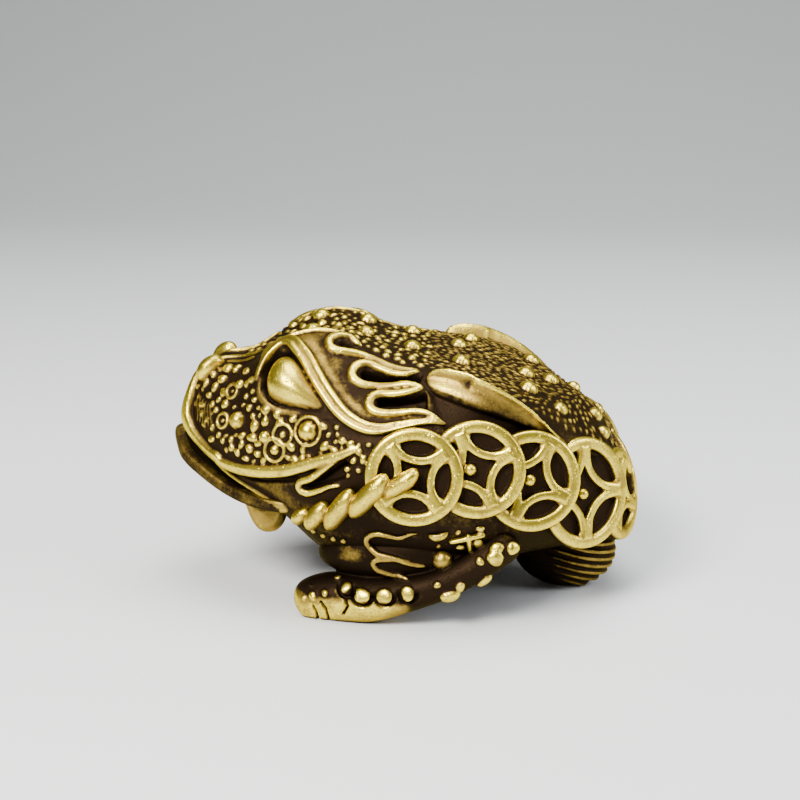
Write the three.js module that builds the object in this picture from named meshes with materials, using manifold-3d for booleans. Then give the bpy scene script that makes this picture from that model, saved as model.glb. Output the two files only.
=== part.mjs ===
import * as THREE from "three";
import { mergeVertices } from "three/addons/utils/BufferGeometryUtils.js";
import Module from "manifold-3d";

// A three-legged money toad with a rope of openwork cash coins, cast in brass as one piece.
// Millimetres, Z up. It faces -Y, its left side is +X, and its three soles stand on Z = 0.

// Driving sizes. The pose and the carving are drawn in hundredths of the figure's length.
const figureLength = 58;
const coinRadius = 5.65;
const coinRingWidth = 1.4;
const coinBarWidth = 0.65;
const coinDepth = 3.6;
const coinTaper = 0.72;
const coinPocketDepth = 0.85;
const coinLean = 0.17;
const coinBowShare = 0.42;
const coinCornerShare = 0.62;
const lensHalf = 0.64;
const knobRadius = 0.75;
const strandLength = 7.1;
const strandRadius = 1.2;
const lidBandWidth = 1.35;
const hookBandWidth = 0.85;
const lipBandWidth = 1.6;
const jawRimWidth = 1.5;
const ridgeWidth = 0.9;
const crestWidth = 1.7;
const bandRise = 0.7;
const wartRadius = 1.15;
const eyeRadius = 2.7;
const eyeHeight = 2.6;
const eyeSink = 0.9;
const toeRadius = 1.6;
const tailRidgeWidth = 1.1;

// How finely the faceted forms are divided.
const hideStations = [
  -48, -45, -41, -35.5, -30.5, -27.2, -23.5, -19, -14, -8, -1, 7, 16, 25, 33, 39, 43.5, 46.5,
];
const samplesPerGuide = 2;
const barSides = 3;
const wartSides = 5;
const wartRings = 3;
const coinSides = 14;
const jawSides = 8;
const openingSteps = 2;

const wasm = await Module();
wasm.setup();

const brass = new THREE.MeshStandardMaterial({ color: 0x8a7433, roughness: 0.42, metalness: 1 });

// A place on the figure, in millimetres, from hundredths of its length.
const hundredth = figureLength / 100;
const at = (x, y, z) => new THREE.Vector3(x, y, z).multiplyScalar(hundredth);

function solid(geometry) {
  const bare = geometry.clone();
  bare.deleteAttribute("normal");
  bare.deleteAttribute("uv");
  const merged = mergeVertices(bare, 1e-4);
  return new wasm.Manifold(
    new wasm.Mesh({
      numProp: 3,
      vertProperties: merged.attributes.position.array,
      triVerts: new Uint32Array(merged.index.array),
    }),
  );
}

function geometryOf(body) {
  const { vertProperties, triVerts } = body.getMesh();
  const geometry = new THREE.BufferGeometry();
  geometry.setAttribute("position", new THREE.BufferAttribute(vertProperties, 3));
  geometry.setIndex(new THREE.BufferAttribute(triVerts, 1));
  geometry.computeVertexNormals();
  return geometry;
}

// The same shape on the figure's right side.
function mirrored(geometry) {
  const twin = mergeVertices(geometry, 1e-4).clone().scale(-1, 1, 1);
  const corners = twin.index.array;
  for (let i = 0; i < corners.length; i += 3) {
    [corners[i + 1], corners[i + 2]] = [corners[i + 2], corners[i + 1]];
  }
  return twin;
}

// A guide line along the hide: the sideways place and height at any place along the figure.
function guide(points) {
  const slope = (i, k) => {
    const before = points[Math.max(i - 1, 0)];
    const after = points[Math.min(i + 1, points.length - 1)];
    return (after[k] - before[k]) / (after[1] - before[1]);
  };
  return (y) => {
    let i = 0;
    while (i < points.length - 2 && y > points[i + 1][1]) i += 1;
    const [from, to] = [points[i], points[i + 1]];
    const span = to[1] - from[1];
    const t = THREE.MathUtils.clamp((y - from[1]) / span, 0, 1);
    const value = (k) =>
      from[k] * (1 - t) ** 2 * (1 + 2 * t) +
      to[k] * t ** 2 * (3 - 2 * t) +
      span * t * (1 - t) * (slope(i, k) * (1 - t) - slope(i + 1, k) * t);
    return [value(0), value(2)];
  };
}

// The hide's guide lines, each point sideways, along and up.
const spine = guide([
  [0, -48, 40], [0, -43, 47.2], [0, -34, 49.2], [0, -24, 53], [0, -15, 55.6], [0, -4, 53.6],
  [0, 12, 50.6], [0, 28, 45.6], [0, 38, 41], [0, 43, 35], [0, 46.5, 27],
]);
const crest = guide([
  [2.5, -48, 40], [5, -43, 47.4], [9, -34, 49.4], [12.8, -27.5, 53.6], [13, -20, 56.7], [13.5, -13, 56.4],
  [17, -4, 52.4], [23, 7, 49.9], [25.6, 18, 47.2], [24.6, 28, 42.4], [21.5, 35, 37], [12, 43, 31.5],
  [2, 46.5, 26.5],
]);
const brow = guide([
  [4.5, -48, 38.5], [9, -43, 43.5], [14, -34, 47], [18.5, -27, 51], [21, -18, 51.5], [26.5, -10, 45.5],
  [29.5, -2, 41.5], [30, 8, 42.5], [29, 18, 41], [24.5, 29, 37], [17, 38.5, 32.5], [9, 43.5, 28],
  [2.6, 46.5, 24.5],
]);
const flank = guide([
  [5.5, -48, 36], [12, -43, 33.5], [18.5, -37, 31.5], [24, -28, 31], [28, -18, 32.5], [32, -6, 32.5],
  [33.4, 5, 32.5], [31.4, 17, 33], [27, 28, 31], [19, 37, 26], [9, 43, 22], [2.6, 46.5, 21.5],
]);
const shoulder = guide([
  [4, -48, 34.5], [9, -43, 31], [15, -37, 27.5], [21.5, -29, 25], [26, -22, 22.5], [28.5, -12, 17],
  [30.5, 2, 16.5], [30.5, 15, 17], [27, 26, 18.5], [18, 36, 17.5], [8, 43, 17.5], [2, 46.5, 19.6],
]);
const keel = guide([
  [2.5, -48, 34], [5, -43, 30], [9, -36, 26.5], [13, -29, 22.5], [18, -22, 17], [21, -14, 12],
  [22, 2, 11.5], [21, 16, 11.5], [17, 28, 12.5], [11, 37, 13], [5, 43, 15.5], [1.5, 46.5, 19.2],
]);
const belly = guide([
  [0, -48, 34], [0, -43, 29.5], [0, -36, 26], [0, -29, 22], [0, -22, 17], [0, -14, 13.5],
  [0, 2, 12], [0, 16, 12], [0, 28, 12.5], [0, 37, 13], [0, 43, 15], [0, 46.5, 19],
]);

// The rim of the lower jaw, from the tip backwards, and how thick the jaw is over and under it.
const jawRimPlaces = [
  [3, -50, 31.6], [8.6, -47.6, 29.2], [13.3, -42.4, 26.4], [17.6, -36, 23.8], [22, -29.5, 22.8],
  [25.4, -22, 22.8], [24, -16, 22],
];
const [jawFront, jawBack] = [jawRimPlaces[0][1], jawRimPlaces.at(-1)[1]];
const jawRim = guide(jawRimPlaces);
const jawRise = 1.4;
const jawDrop = 2.4;

// A closed skin over rings of points, with a fan over each end.
function lofted(rings) {
  const count = rings[0].length;
  const positions = rings.flat().flatMap((p) => [p.x, p.y, p.z]);
  const faces = [];
  for (let r = 0; r < rings.length - 1; r += 1) {
    for (let i = 0; i < count; i += 1) {
      const next = (i + 1) % count;
      const [a, b, c, d] = [r * count + i, r * count + next, (r + 1) * count + next, (r + 1) * count + i];
      faces.push(a, b, c, a, c, d);
    }
  }
  for (const r of [0, rings.length - 1]) {
    const middle = rings[r].reduce((sum, p) => sum.add(p), new THREE.Vector3()).divideScalar(count);
    const hub = positions.length / 3;
    positions.push(middle.x, middle.y, middle.z);
    for (let i = 0; i < count; i += 1) {
      const [a, b] = [r * count + i, r * count + ((i + 1) % count)];
      faces.push(...(r === 0 ? [hub, b, a] : [hub, a, b]));
    }
  }
  const geometry = new THREE.BufferGeometry();
  geometry.setAttribute("position", new THREE.Float32BufferAttribute(positions, 3));
  geometry.setIndex(faces);
  geometry.computeVertexNormals();
  return geometry;
}

function evenSteps(from, to, count) {
  return Array.from({ length: count }, (_, i) => from + ((to - from) * i) / (count - 1));
}

// The hide is a loft of closed sections through its guide lines.
function hideGeometry() {
  const sides = [crest, brow, flank, shoulder, keel];
  const rings = hideStations.map((y) => {
    const left = sides.map((line) => line(y));
    const right = left.toReversed().map(([x, z]) => [-x, z]);
    const outline = [spine(y), ...left, belly(y), ...right].map(([x, z]) => at(x, y, z));
    const section = new THREE.CatmullRomCurve3(outline, true);
    const count = outline.length * samplesPerGuide;
    return Array.from({ length: count }, (_, i) => section.getPoint(i / count));
  });
  return lofted(rings);
}

// The lower jaw is a shallow scoop that juts out past the upper lip.
function jawGeometry() {
  const rings = evenSteps(jawFront, jawBack, 7).map((y) => {
    const [halfWidth, height] = jawRim(y);
    return Array.from({ length: jawSides }, (_, i) => {
      const round = Math.PI / 2 - (i / jawSides) * 2 * Math.PI;
      const lift = Math.sin(round) * (Math.sin(round) > 0 ? jawRise : jawDrop);
      return at(halfWidth * Math.cos(round), y, height + lift);
    });
  });
  return lofted(rings);
}

// An egg-shaped mass: its middle and half sizes in hundredths, and its turn about X.
function mass(middle, half, turn = 0, sides = 14, rings = 10) {
  return new THREE.SphereGeometry(1, sides, rings)
    .scale(...half.map((h) => h * hundredth))
    .rotateX(turn)
    .translate(...at(...middle));
}

// A bar drawn out along a curve with rounded ends. Each spot has a point, the way out of the surface
// there, and a girth where the bar swells or thins. A three-sided bar has a crest outside and a foot
// inside, and its width is the width where it meets the surface.
function bar(spots, width, height, { rings = 12, fullness = 6, sides = barSides, start = Math.PI / 2 } = {}) {
  const line = new THREE.CatmullRomCurve3(spots.map((s) => s.point));
  const outwards = new THREE.CatmullRomCurve3(spots.map((s) => s.normal));
  const spread = sides === barSides ? Math.sqrt(3) : 1;
  const swell = new THREE.CatmullRomCurve3(spots.map((s) => new THREE.Vector3(s.girth ?? 1, 0, 0)));
  const geometry = new THREE.SphereGeometry(1, sides, rings, start);
  const place = geometry.attributes.position;
  const v = new THREE.Vector3();
  for (let i = 0; i < place.count; i += 1) {
    v.fromBufferAttribute(place, i);
    const t = Math.acos(THREE.MathUtils.clamp(v.y, -1, 1)) / Math.PI;
    const round = Math.atan2(v.z, v.x);
    const blunt = Math.sqrt(Math.max(0, 1 - Math.abs(2 * t - 1) ** fullness));
    const girth = blunt * swell.getPoint(t).x;
    const forward = line.getTangent(t);
    const up = outwards.getPoint(t);
    up.addScaledVector(forward, -up.dot(forward)).normalize();
    const across = new THREE.Vector3().crossVectors(up, forward);
    v.copy(line.getPoint(t))
      .addScaledVector(across, (width / 2) * spread * girth * Math.cos(round))
      .addScaledVector(up, height * girth * Math.sin(round));
    place.setXYZ(i, v.x, v.y, v.z);
  }
  return geometry;
}

const hide = hideGeometry();
const jaw = jawGeometry();

// The front legs: the upper arm lies along the chest, and the forearm comes forward from the elbow.
const upperArm = mass([23.3, 2, 14.2], [8, 18.4, 6.6], 0.06, 8, 6);
const straightOut = new THREE.Vector3(1, 0, 0);
const limbSpot = ([x, y, z, girth]) => ({ point: at(x, y, z), normal: straightOut, girth });
const forearm = bar(
  [
    [24, -18.6, 3, 0.6], [25.6, -12.5, 4.2, 0.95], [27.6, -5, 4.8, 0.95], [29.4, 2, 6.6, 0.76],
    [30.4, 9, 9, 0.62], [30, 16, 12.8, 0.62], [28, 24.5, 18.8, 0.66],
  ].map(limbSpot),
  10.5 * hundredth,
  5.6 * hundredth,
  { rings: 9, fullness: 6, sides: 6 },
);
const toes = [[22.4, -16.6, 2.2, -0.1], [26, -16.4, 2.2, 0.3], [29.2, -13.6, 2.2, 0.8]].map(
  ([x, y, z, splay]) =>
    new THREE.SphereGeometry(toeRadius, 5, 3).scale(1, 1.7, 1).rotateZ(splay).translate(...at(x, y, z)),
);

// The third leg is a broad tail-like foot under the rump.
const tailLeg = mass([0, 34, 7.9], [8.8, 11, 8.4], -0.04, 9, 6);

// The chin hangs under the jaw as a smooth lobe, with a deep undercut behind it.
const chin = bar(
  [[-17.6, -29.6, 19], [-9, -31.2, 18], [0, -32, 17.6], [9, -31.2, 18], [17.6, -29.6, 19]].map(
    ([x, y, z]) => ({ point: at(x, y, z), normal: new THREE.Vector3(0, 0, 1) }),
  ),
  7.4 * hundredth,
  4.8 * hundredth,
  { rings: 7, fullness: 14, sides: 6 },
);

// Places on the figure's surface, found by looking straight at it.
const surfaces = [hide, jaw, upperArm, forearm, tailLeg].map(
  (geometry) => new THREE.Mesh(geometry, new THREE.MeshBasicMaterial({ side: THREE.DoubleSide })),
);
const farAway = 2 * figureLength;
function seen(target, direction, among = surfaces) {
  const start = target.clone().addScaledVector(direction, -farAway);
  const hit = new THREE.Raycaster(start, direction).intersectObjects(among)[0];
  return { point: hit.point, normal: hit.normal };
}
const tailSurface = surfaces.slice(-1);
const onSide = ([y, z]) => seen(at(0, y, z), new THREE.Vector3(-1, 0, 0));
const onTop = ([x, y]) => seen(at(x, y, 0), new THREE.Vector3(0, 0, -1));

const sideBar = (places, width, options) => bar(places.map(onSide), width, bandRise, options);

// The eye is a blunt cone that bulges out of its socket.
const eyeSpot = onSide([-23.4, 48]);
const socket = mass([21, -22.6, 48.6], [4.2, 6.4, 6.2], 0, 8, 6);
function eyeGeometry() {
  const profile = [[0, -2], [1, -2], [1, -0.2], [0.75, 0.45], [0.3, 0.92], [0, 1]];
  const points = profile.map(([r, h]) => new THREE.Vector2(r * eyeRadius, h * eyeHeight));
  const aim = new THREE.Quaternion().setFromUnitVectors(
    new THREE.Vector3(0, 1, 0),
    new THREE.Vector3(1, -0.12, 0.28).normalize(),
  );
  return new THREE.LatheGeometry(points, 8)
    .applyQuaternion(aim)
    .translate(...eyeSpot.point.toArray())
    .translate(-eyeSink, 0, 0);
}

// The bands, hooks and lips on one side, each place along and up.
const eyelid = sideBar(
  [
    [-29.1, 46.8], [-28.6, 50.2], [-27.4, 53.4], [-24.5, 55], [-21, 54.8], [-18, 52.8], [-14.9, 49.6],
    [-12.1, 45.8], [-9.6, 43.2], [-6.8, 41.4], [-1.5, 40.8], [4.5, 42.4], [10.8, 42.8],
  ],
  lidBandWidth,
  { rings: 12, fullness: 14 },
);
const flameHooks = [
  [
    [-8, 54.1], [-10.7, 55.5], [-13.2, 56], [-14.8, 55.1], [-13.1, 53.9], [-10.2, 53.3], [-5.7, 52.1],
    [-0.7, 50.9], [4.2, 50.8],
  ],
  [
    [4.6, 50.9], [0.2, 49.9], [-4.3, 50.6], [-8, 51.9], [-9.8, 51.1], [-8.4, 49.4], [-4.8, 48.4], [0.5, 48.3],
    [5.8, 48.5],
  ],
  [
    [5.6, 47.6], [0.8, 46.8], [-2.9, 47], [-5.2, 46.3], [-5.2, 44.6], [-2.7, 43.7], [1.1, 44], [4.3, 44.4],
    [10.4, 43.2],
  ],
].map((places) => sideBar(places, hookBandWidth, { rings: 9, fullness: 14 }));
const lipFront = [
  [3.4, -45.6, 44.8], [6, -47.2, 41.2], [7.4, -46.4, 36.8], [9.8, -44.4, 33.6], [13, -41.4, 31.6],
].map(([x, y, z]) => ({ point: at(x, y, z), normal: new THREE.Vector3(0.6, -1, 0) }));
const lipSide = [
  [-38.2, 31.2], [-32.9, 30.6], [-26.6, 30.8], [-19.3, 32.6], [-14.6, 34], [-10.8, 35.8], [-8.3, 37.4],
].map(onSide);
const rightOf = ({ point, normal }) => ({
  point: point.clone().setX(-point.x),
  normal: normal.clone().setX(-normal.x),
});
const leftLip = [...lipFront, ...lipSide];
const lipBand = bar([...leftLip.map(rightOf).reverse(), ...leftLip], lipBandWidth, bandRise * 1.2, {
  rings: 17,
  fullness: 20,
});
const lipHook = sideBar(
  [
    [-11.2, 35], [-14.1, 33], [-17.3, 30.5], [-19.2, 28.8], [-18.5, 27.3], [-16.4, 26.9], [-13.1, 28.3],
    [-10.3, 29.2],
  ],
  ridgeWidth,
  { rings: 9, fullness: 14 },
);
const rimPlaces = evenSteps(-22, jawFront, 8).map((y) => [jawRim(y)[0], y, jawRim(y)[1]]);
const rimSpots = [...rimPlaces, [0, -50.6, 31.8], ...rimPlaces.toReversed().map(([x, y, z]) => [-x, y, z])];
const jawRimBar = bar(
  rimSpots.map(([x, y, z]) => ({ point: at(x, y, z), normal: new THREE.Vector3(x / 20, -0.6, 0) })),
  jawRimWidth,
  bandRise,
  { rings: 13, fullness: 14 },
);
const nostril = bar(
  [
    [5.4, -44.2, 46, 1.2], [4.6, -42, 47.8, 1.3], [4.2, -39.6, 49, 0.7], [5.2, -35.6, 49.6, 0.6],
    [9, -31.6, 50.8, 0.5],
  ].map(([x, y, z, girth]) => ({ point: at(x, y, z), normal: new THREE.Vector3(0.5, -0.4, 0.9), girth })),
  2 * ridgeWidth,
  bandRise * 1.4,
  { rings: 7 },
);
const thighCrest = bar(
  evenSteps(4, 38, 9).map((y, i) => {
    const [x, z] = crest(y);
    return { point: at(x - 0.3, y, z - 0.5), normal: new THREE.Vector3(0.6, 0, 0.8), girth: 1.5 - 0.12 * i };
  }),
  crestWidth,
  bandRise * 1.3,
  { rings: 8 },
);

// The rope's strands, from the first coin down to the mouth: middle, rise from level and size.
const ropeStrands = [
  { middle: [36, 2.1, 31.8], rise: 0.78, size: 0.77 },
  { middle: [35.5, -4.4, 28.9], rise: 0.94, size: 1 },
  { middle: [32.4, -10.6, 25], rise: 1.08, size: 0.97 },
  { middle: [29.9, -15.7, 22.6], rise: 1.08, size: 0.7 },
  { middle: [27.9, -19.3, 21.6], rise: 1.04, size: 0.5 },
].map(({ middle, rise, size }) =>
  new THREE.SphereGeometry(1, 5, 4)
    .scale(strandRadius * size, (strandLength / 2) * size, strandRadius * size)
    .rotateX(rise)
    .translate(...at(...middle)),
);

// A cash coin: a ring and four bowed bars between four lens openings and a square middle with bowed sides.
function coinOpenings(radius) {
  const inner = radius - coinRingWidth;
  const bow = coinBowShare * radius;
  const turned = (r, angle) => new THREE.Vector2(r * Math.cos(angle), r * Math.sin(angle));
  const quarters = [0, 1, 2, 3].map((quarter) => (quarter * Math.PI) / 2);
  const lenses = quarters.map((angle) => {
    const [from, to] = [turned(inner, angle - lensHalf), turned(inner, angle + lensHalf)];
    const crown = turned(inner / Math.cos(lensHalf), angle);
    const pull = turned(2 * bow - inner * Math.cos(lensHalf), angle);
    return new THREE.Shape()
      .moveTo(from.x, from.y)
      .quadraticCurveTo(crown.x, crown.y, to.x, to.y)
      .quadraticCurveTo(pull.x, pull.y, from.x, from.y);
  });
  const corner = coinCornerShare * radius;
  const start = turned(corner, -Math.PI / 4);
  const middle = new THREE.Shape().moveTo(start.x, start.y);
  for (const angle of quarters) {
    const end = turned(corner, angle + Math.PI / 4);
    const pull = turned(2 * (bow - coinBarWidth) - corner * Math.cos(Math.PI / 4), angle);
    middle.quadraticCurveTo(pull.x, pull.y, end.x, end.y);
  }
  return [...lenses, middle];
}

// The coins of one side, from the rope to the rump: middle, turn towards the rump, twist and size.
const coins = [
  { middle: [35.2, 4.6, 32.8], turn: 0.07, twist: -0.12, size: 1 },
  { middle: [33.4, 16.7, 34.2], turn: 0.07, twist: -0.34, size: 1 },
  { middle: [29.5, 27.7, 31.1], turn: 0.33, twist: 0.28, size: 1.04 },
  { middle: [21.2, 38.5, 26.6], turn: 0.74, twist: 0.7, size: 1.17 },
  { middle: [8, 46.2, 22.8], turn: 1.2, twist: 0.2, size: 1 },
];
function coinStance({ middle, turn, twist }) {
  const out = new THREE.Vector3(Math.cos(turn), Math.sin(turn), coinLean).normalize();
  const back = new THREE.Vector3(-Math.sin(turn), Math.cos(turn), 0);
  const up = new THREE.Vector3().crossVectors(out, back);
  return new THREE.Matrix4()
    .makeBasis(back, up, out)
    .setPosition(at(...middle))
    .multiply(new THREE.Matrix4().makeRotationZ(twist));
}
// A coin lies under the coin before: it is cut away over the floor of that one.
function coinGeometry(coin, i) {
  const radius = coinRadius * coin.size;
  const disc = new THREE.CylinderGeometry(radius, radius * coinTaper, coinDepth, coinSides)
    .rotateX(Math.PI / 2)
    .translate(0, 0, -coinDepth / 2);
  const pockets = coinOpenings(radius).map((shape) =>
    new THREE.ExtrudeGeometry(shape, { depth: coinDepth, bevelEnabled: false, curveSegments: openingSteps })
      .translate(0, 0, -coinPocketDepth),
  );
  const coinSolid = pockets.reduce((sum, pocket) => sum.subtract(solid(pocket)), solid(disc));
  const geometry = geometryOf(coinSolid).applyMatrix4(coinStance(coin));
  if (i === 0) return geometry;
  const before = coins[i - 1];
  const reach = coinRadius * before.size - coinRingWidth / 2;
  const room = new THREE.CylinderGeometry(reach, reach, coinDepth, coinSides)
    .rotateX(Math.PI / 2)
    .translate(0, 0, coinDepth / 2 - coinPocketDepth)
    .applyMatrix4(coinStance(before));
  return geometryOf(solid(geometry).subtract(solid(room)));
}
const knobs = coins.slice(1, 4).map((coin) =>
  new THREE.SphereGeometry(knobRadius, wartSides, wartRings)
    .translate(0, 0, -coinPocketDepth)
    .applyMatrix4(coinStance(coin)),
);

// Warts, each at a place along and up on both flanks, or sideways and along on the back.
const wart = ({ point }) =>
  new THREE.SphereGeometry(wartRadius, wartSides, wartRings).translate(...point.toArray());
const flankWarts = [[-33.6, 39.1], [-18, 39.5], [10.2, 15]].map((place) => wart(onSide(place)));
const backWarts = [
  [-9.6, -20.5], [-8.5, -10.1], [5.2, -8.6], [-8, -0.6], [6.3, 1.4], [-5.3, 10.4], [13.5, 12.4], [2.5, 24.4],
  [12.6, 26], [0.5, 31], [16, 33], [2.4, 39.6], [6.3, 42],
].map((place) => wart(onTop(place)));

// A striation that wraps the tail leg.
const tailRidge = bar(
  evenSteps(-2.1, 2.1, 9).map((angle) => {
    const [x, y] = [Math.sin(angle), Math.cos(angle)];
    return seen(at(0, 34, 6.4 + 2 * y), new THREE.Vector3(-x, -y, 0), tailSurface);
  }),
  tailRidgeWidth,
  bandRise,
  { rings: 8, fullness: 10 },
);

const leftSide = [
  upperArm, forearm, ...toes, eyeGeometry(), eyelid, ...flameHooks, lipHook, nostril, thighCrest,
  ...ropeStrands, ...coins.map(coinGeometry), ...knobs, ...flankWarts,
];
const middleParts = [jaw, chin, tailLeg, lipBand, jawRimBar, ...backWarts, tailRidge];
const ground = new THREE.BoxGeometry(farAway, farAway, farAway).translate(0, 0, -farAway / 2);

let figure = solid(hide).subtract(solid(socket)).subtract(solid(mirrored(socket)));
for (const geometry of [...leftSide, ...leftSide.map(mirrored), ...middleParts]) {
  figure = figure.add(solid(geometry));
}
figure = figure.subtract(solid(ground));

// The figure's box stands centred on the origin.
const casting = geometryOf(figure);
casting.computeBoundingBox();
const boxMiddle = casting.boundingBox.getCenter(new THREE.Vector3());
casting.translate(-boxMiddle.x, -boxMiddle.y, 0);

const toad = new THREE.Mesh(casting, brass);
toad.name = "money_toad";
const group = new THREE.Group();
group.add(toad);
export default group;
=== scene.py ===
"""Dresses the cast brass money toad: its carved skin, coins, rope, patina, and the studio around it."""

import math

import bpy
import numpy as np
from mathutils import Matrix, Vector
from mathutils.bvhtree import BVHTree


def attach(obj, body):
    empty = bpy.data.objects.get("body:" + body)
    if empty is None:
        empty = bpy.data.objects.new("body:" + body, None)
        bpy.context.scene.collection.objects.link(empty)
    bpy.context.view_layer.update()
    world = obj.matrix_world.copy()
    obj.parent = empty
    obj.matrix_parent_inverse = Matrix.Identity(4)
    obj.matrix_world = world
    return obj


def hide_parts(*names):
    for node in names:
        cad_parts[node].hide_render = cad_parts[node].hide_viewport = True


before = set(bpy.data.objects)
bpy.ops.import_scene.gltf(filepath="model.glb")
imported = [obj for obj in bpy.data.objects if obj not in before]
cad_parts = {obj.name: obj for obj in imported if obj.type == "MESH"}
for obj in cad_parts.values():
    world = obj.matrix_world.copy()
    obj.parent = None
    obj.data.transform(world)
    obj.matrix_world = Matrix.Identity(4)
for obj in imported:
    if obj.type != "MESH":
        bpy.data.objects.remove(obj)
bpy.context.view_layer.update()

bl_info = {
    "name": "Money Toad Casting",
    "version": (1, 0, 0),
    "blender": (4, 5, 0),
    "location": "View3D > Sidebar > Money Toad",
    "description": "Builds a cast brass money toad with a rope of openwork coins",
    "category": "Object",
}

NODE = "money_toad"
SLOT = "antique_brass"

# The carving is drawn in hundredths of the figure's length, x to its left, y to its tail, z up.
PART = 0.00058
ALONG = 0.00044


class ToadSizes(bpy.types.PropertyGroup):
    """Sizes of the carving"""

    skin_grain: bpy.props.FloatProperty(
        name="Skin grain", description="Side of the cells that the skin is fused in",
        default=0.00014, subtype="DISTANCE", unit="LENGTH")
    coin_grain: bpy.props.FloatProperty(
        name="Coin grain", description="Side of the cells that a coin is fused in",
        default=0.00012, subtype="DISTANCE", unit="LENGTH")
    lid_width: bpy.props.FloatProperty(
        name="Eyelid band", description="Width of the grooved band over the eye",
        default=0.00165, subtype="DISTANCE", unit="LENGTH")
    rim_width: bpy.props.FloatProperty(
        name="Flame rim", description="Width of the rim round the flame slots",
        default=0.00095, subtype="DISTANCE", unit="LENGTH")
    lip_width: bpy.props.FloatProperty(
        name="Upper lip", description="Width of the upper lip at the side",
        default=0.00155, subtype="DISTANCE", unit="LENGTH")
    coin_radius: bpy.props.FloatProperty(
        name="Coin radius", description="Outer radius of a coin",
        default=0.00565, subtype="DISTANCE", unit="LENGTH")
    coin_ring: bpy.props.FloatProperty(
        name="Coin ring", description="Width of a coin's ring",
        default=0.00148, subtype="DISTANCE", unit="LENGTH")
    coin_bar: bpy.props.FloatProperty(
        name="Coin bar", description="Width of a coin's bowed bars",
        default=0.00092, subtype="DISTANCE", unit="LENGTH")


class ToadFinish(bpy.types.PropertyGroup):
    """Colours of the brass"""

    bright: bpy.props.FloatVectorProperty(
        name="Worn brass", description="Brass on the crests, rubbed bright",
        size=3, subtype="COLOR", default=(0.88, 0.69, 0.065))
    aged: bpy.props.FloatVectorProperty(
        name="Aged brass", description="Brass on smooth skin, toned brown",
        size=3, subtype="COLOR", default=(0.31, 0.205, 0.036))
    patina: bpy.props.FloatVectorProperty(
        name="Patina", description="Dark brown patina in the hollows",
        size=3, subtype="COLOR", default=(0.017, 0.0095, 0.005))
    floor: bpy.props.FloatVectorProperty(
        name="Floor", description="Colour of the studio floor",
        size=3, subtype="COLOR", default=(0.70, 0.71, 0.72))


# Guide lines of the hide, each point sideways, along and up.
SPINE = [(0, -48, 40), (0, -43, 47.2), (0, -34, 49.2), (0, -24, 53), (0, -15, 55.6), (0, -4, 53.6),
         (0, 12, 50.6), (0, 28, 45.6), (0, 38, 41), (0, 43, 35), (0, 46.5, 27)]
CREST = [(2.5, -48, 40), (5, -43, 47.4), (9, -34, 49.4), (12.8, -27.5, 53.6), (13, -20, 56.7),
         (13.5, -13, 56.4), (17, -4, 52.4), (23, 7, 49.9), (25.6, 18, 47.2), (24.6, 28, 42.4),
         (21.5, 35, 37), (12, 43, 31.5), (2, 46.5, 26.5)]
BROW = [(4.5, -48, 38.5), (9, -43, 43.5), (14, -34, 47), (18.5, -27, 51), (21, -18, 51.5),
        (26.5, -10, 45.5), (29.5, -2, 41.5), (30, 8, 42.5), (29, 18, 41), (24.5, 29, 37),
        (17, 38.5, 32.5), (9, 43.5, 28), (2.6, 46.5, 24.5)]
FLANK = [(5.5, -48, 36), (12, -43, 33.5), (18.5, -37, 31.5), (24, -28, 31), (28, -18, 32.5),
         (32, -6, 32.5), (33.4, 5, 32.5), (31.4, 17, 33), (27, 28, 31), (19, 37, 26), (9, 43, 22),
         (2.6, 46.5, 21.5)]
SHOULDER = [(4, -48, 34.5), (9, -43, 31), (15, -37, 27.5), (21.5, -29, 25), (26, -22, 22.5),
            (28.5, -12, 17), (30.5, 2, 16.5), (30.5, 15, 17), (27, 26, 18.5), (18, 36, 17.5),
            (8, 43, 17.5), (2, 46.5, 19.6)]
KEEL = [(2.5, -48, 34), (5, -43, 30), (9, -36, 26.5), (13, -29, 22.5), (18, -22, 17), (21, -14, 12),
        (22, 2, 11.5), (21, 16, 11.5), (17, 28, 12.5), (11, 37, 13), (5, 43, 15.5), (1.5, 46.5, 19.2)]
BELLY = [(0, -48, 34), (0, -43, 29.5), (0, -36, 26), (0, -29, 22), (0, -22, 17), (0, -14, 13.5),
         (0, 2, 12), (0, 16, 12), (0, 28, 12.5), (0, 37, 13), (0, 43, 15), (0, 46.5, 19)]
JAW_RIM = [(3, -50, 31.6), (8.6, -47.6, 29.2), (13.3, -42.4, 26.4), (17.6, -36, 23.8),
           (22, -29.5, 22.8), (25.4, -22, 22.8), (24, -16, 22)]

# Carved lines of the left side, each point on the hide. Outlines give the places along and up only.
LID = [(18.2, -29.7, 47.2), (17.9, -29.5, 49.4), (17.3, -29, 51.4), (16.2, -27.9, 53.3),
       (15, -26.2, 54.7), (14.6, -24.3, 55.3), (15.6, -22.4, 55.1), (17.7, -20.7, 54.2), (19.9, -18.7, 52.6),
       (22.4, -16.5, 49.9), (24.7, -14.2, 47.2), (26.7, -11.8, 44.7), (28.3, -9.2, 42.7),
       (29.4, -6.1, 41.3), (29.8, -2.9, 40.9), (29.8, 0.6, 41.6), (29.8, 4, 42.4), (29.8, 8, 42.9),
       (29.9, 10.6, 42.4)]
FLAME_RIM = [(14.7, -8.1, 54.4), (14.2, -9.4, 55), (13.3, -10.7, 55.8), (13.5, -12.2, 56.2),
             (14.4, -13.8, 56.2), (15.9, -14.7, 55.7), (17.5, -14.4, 54.8), (18.1, -13, 54.1),
             (17.9, -10.5, 53.7), (17.6, -8.1, 53.1), (17.9, -5.1, 52.1), (19.2, -1.9, 51.2),
             (20.3, 1.2, 50.9), (20.6, 4.4, 50.8)]
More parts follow.
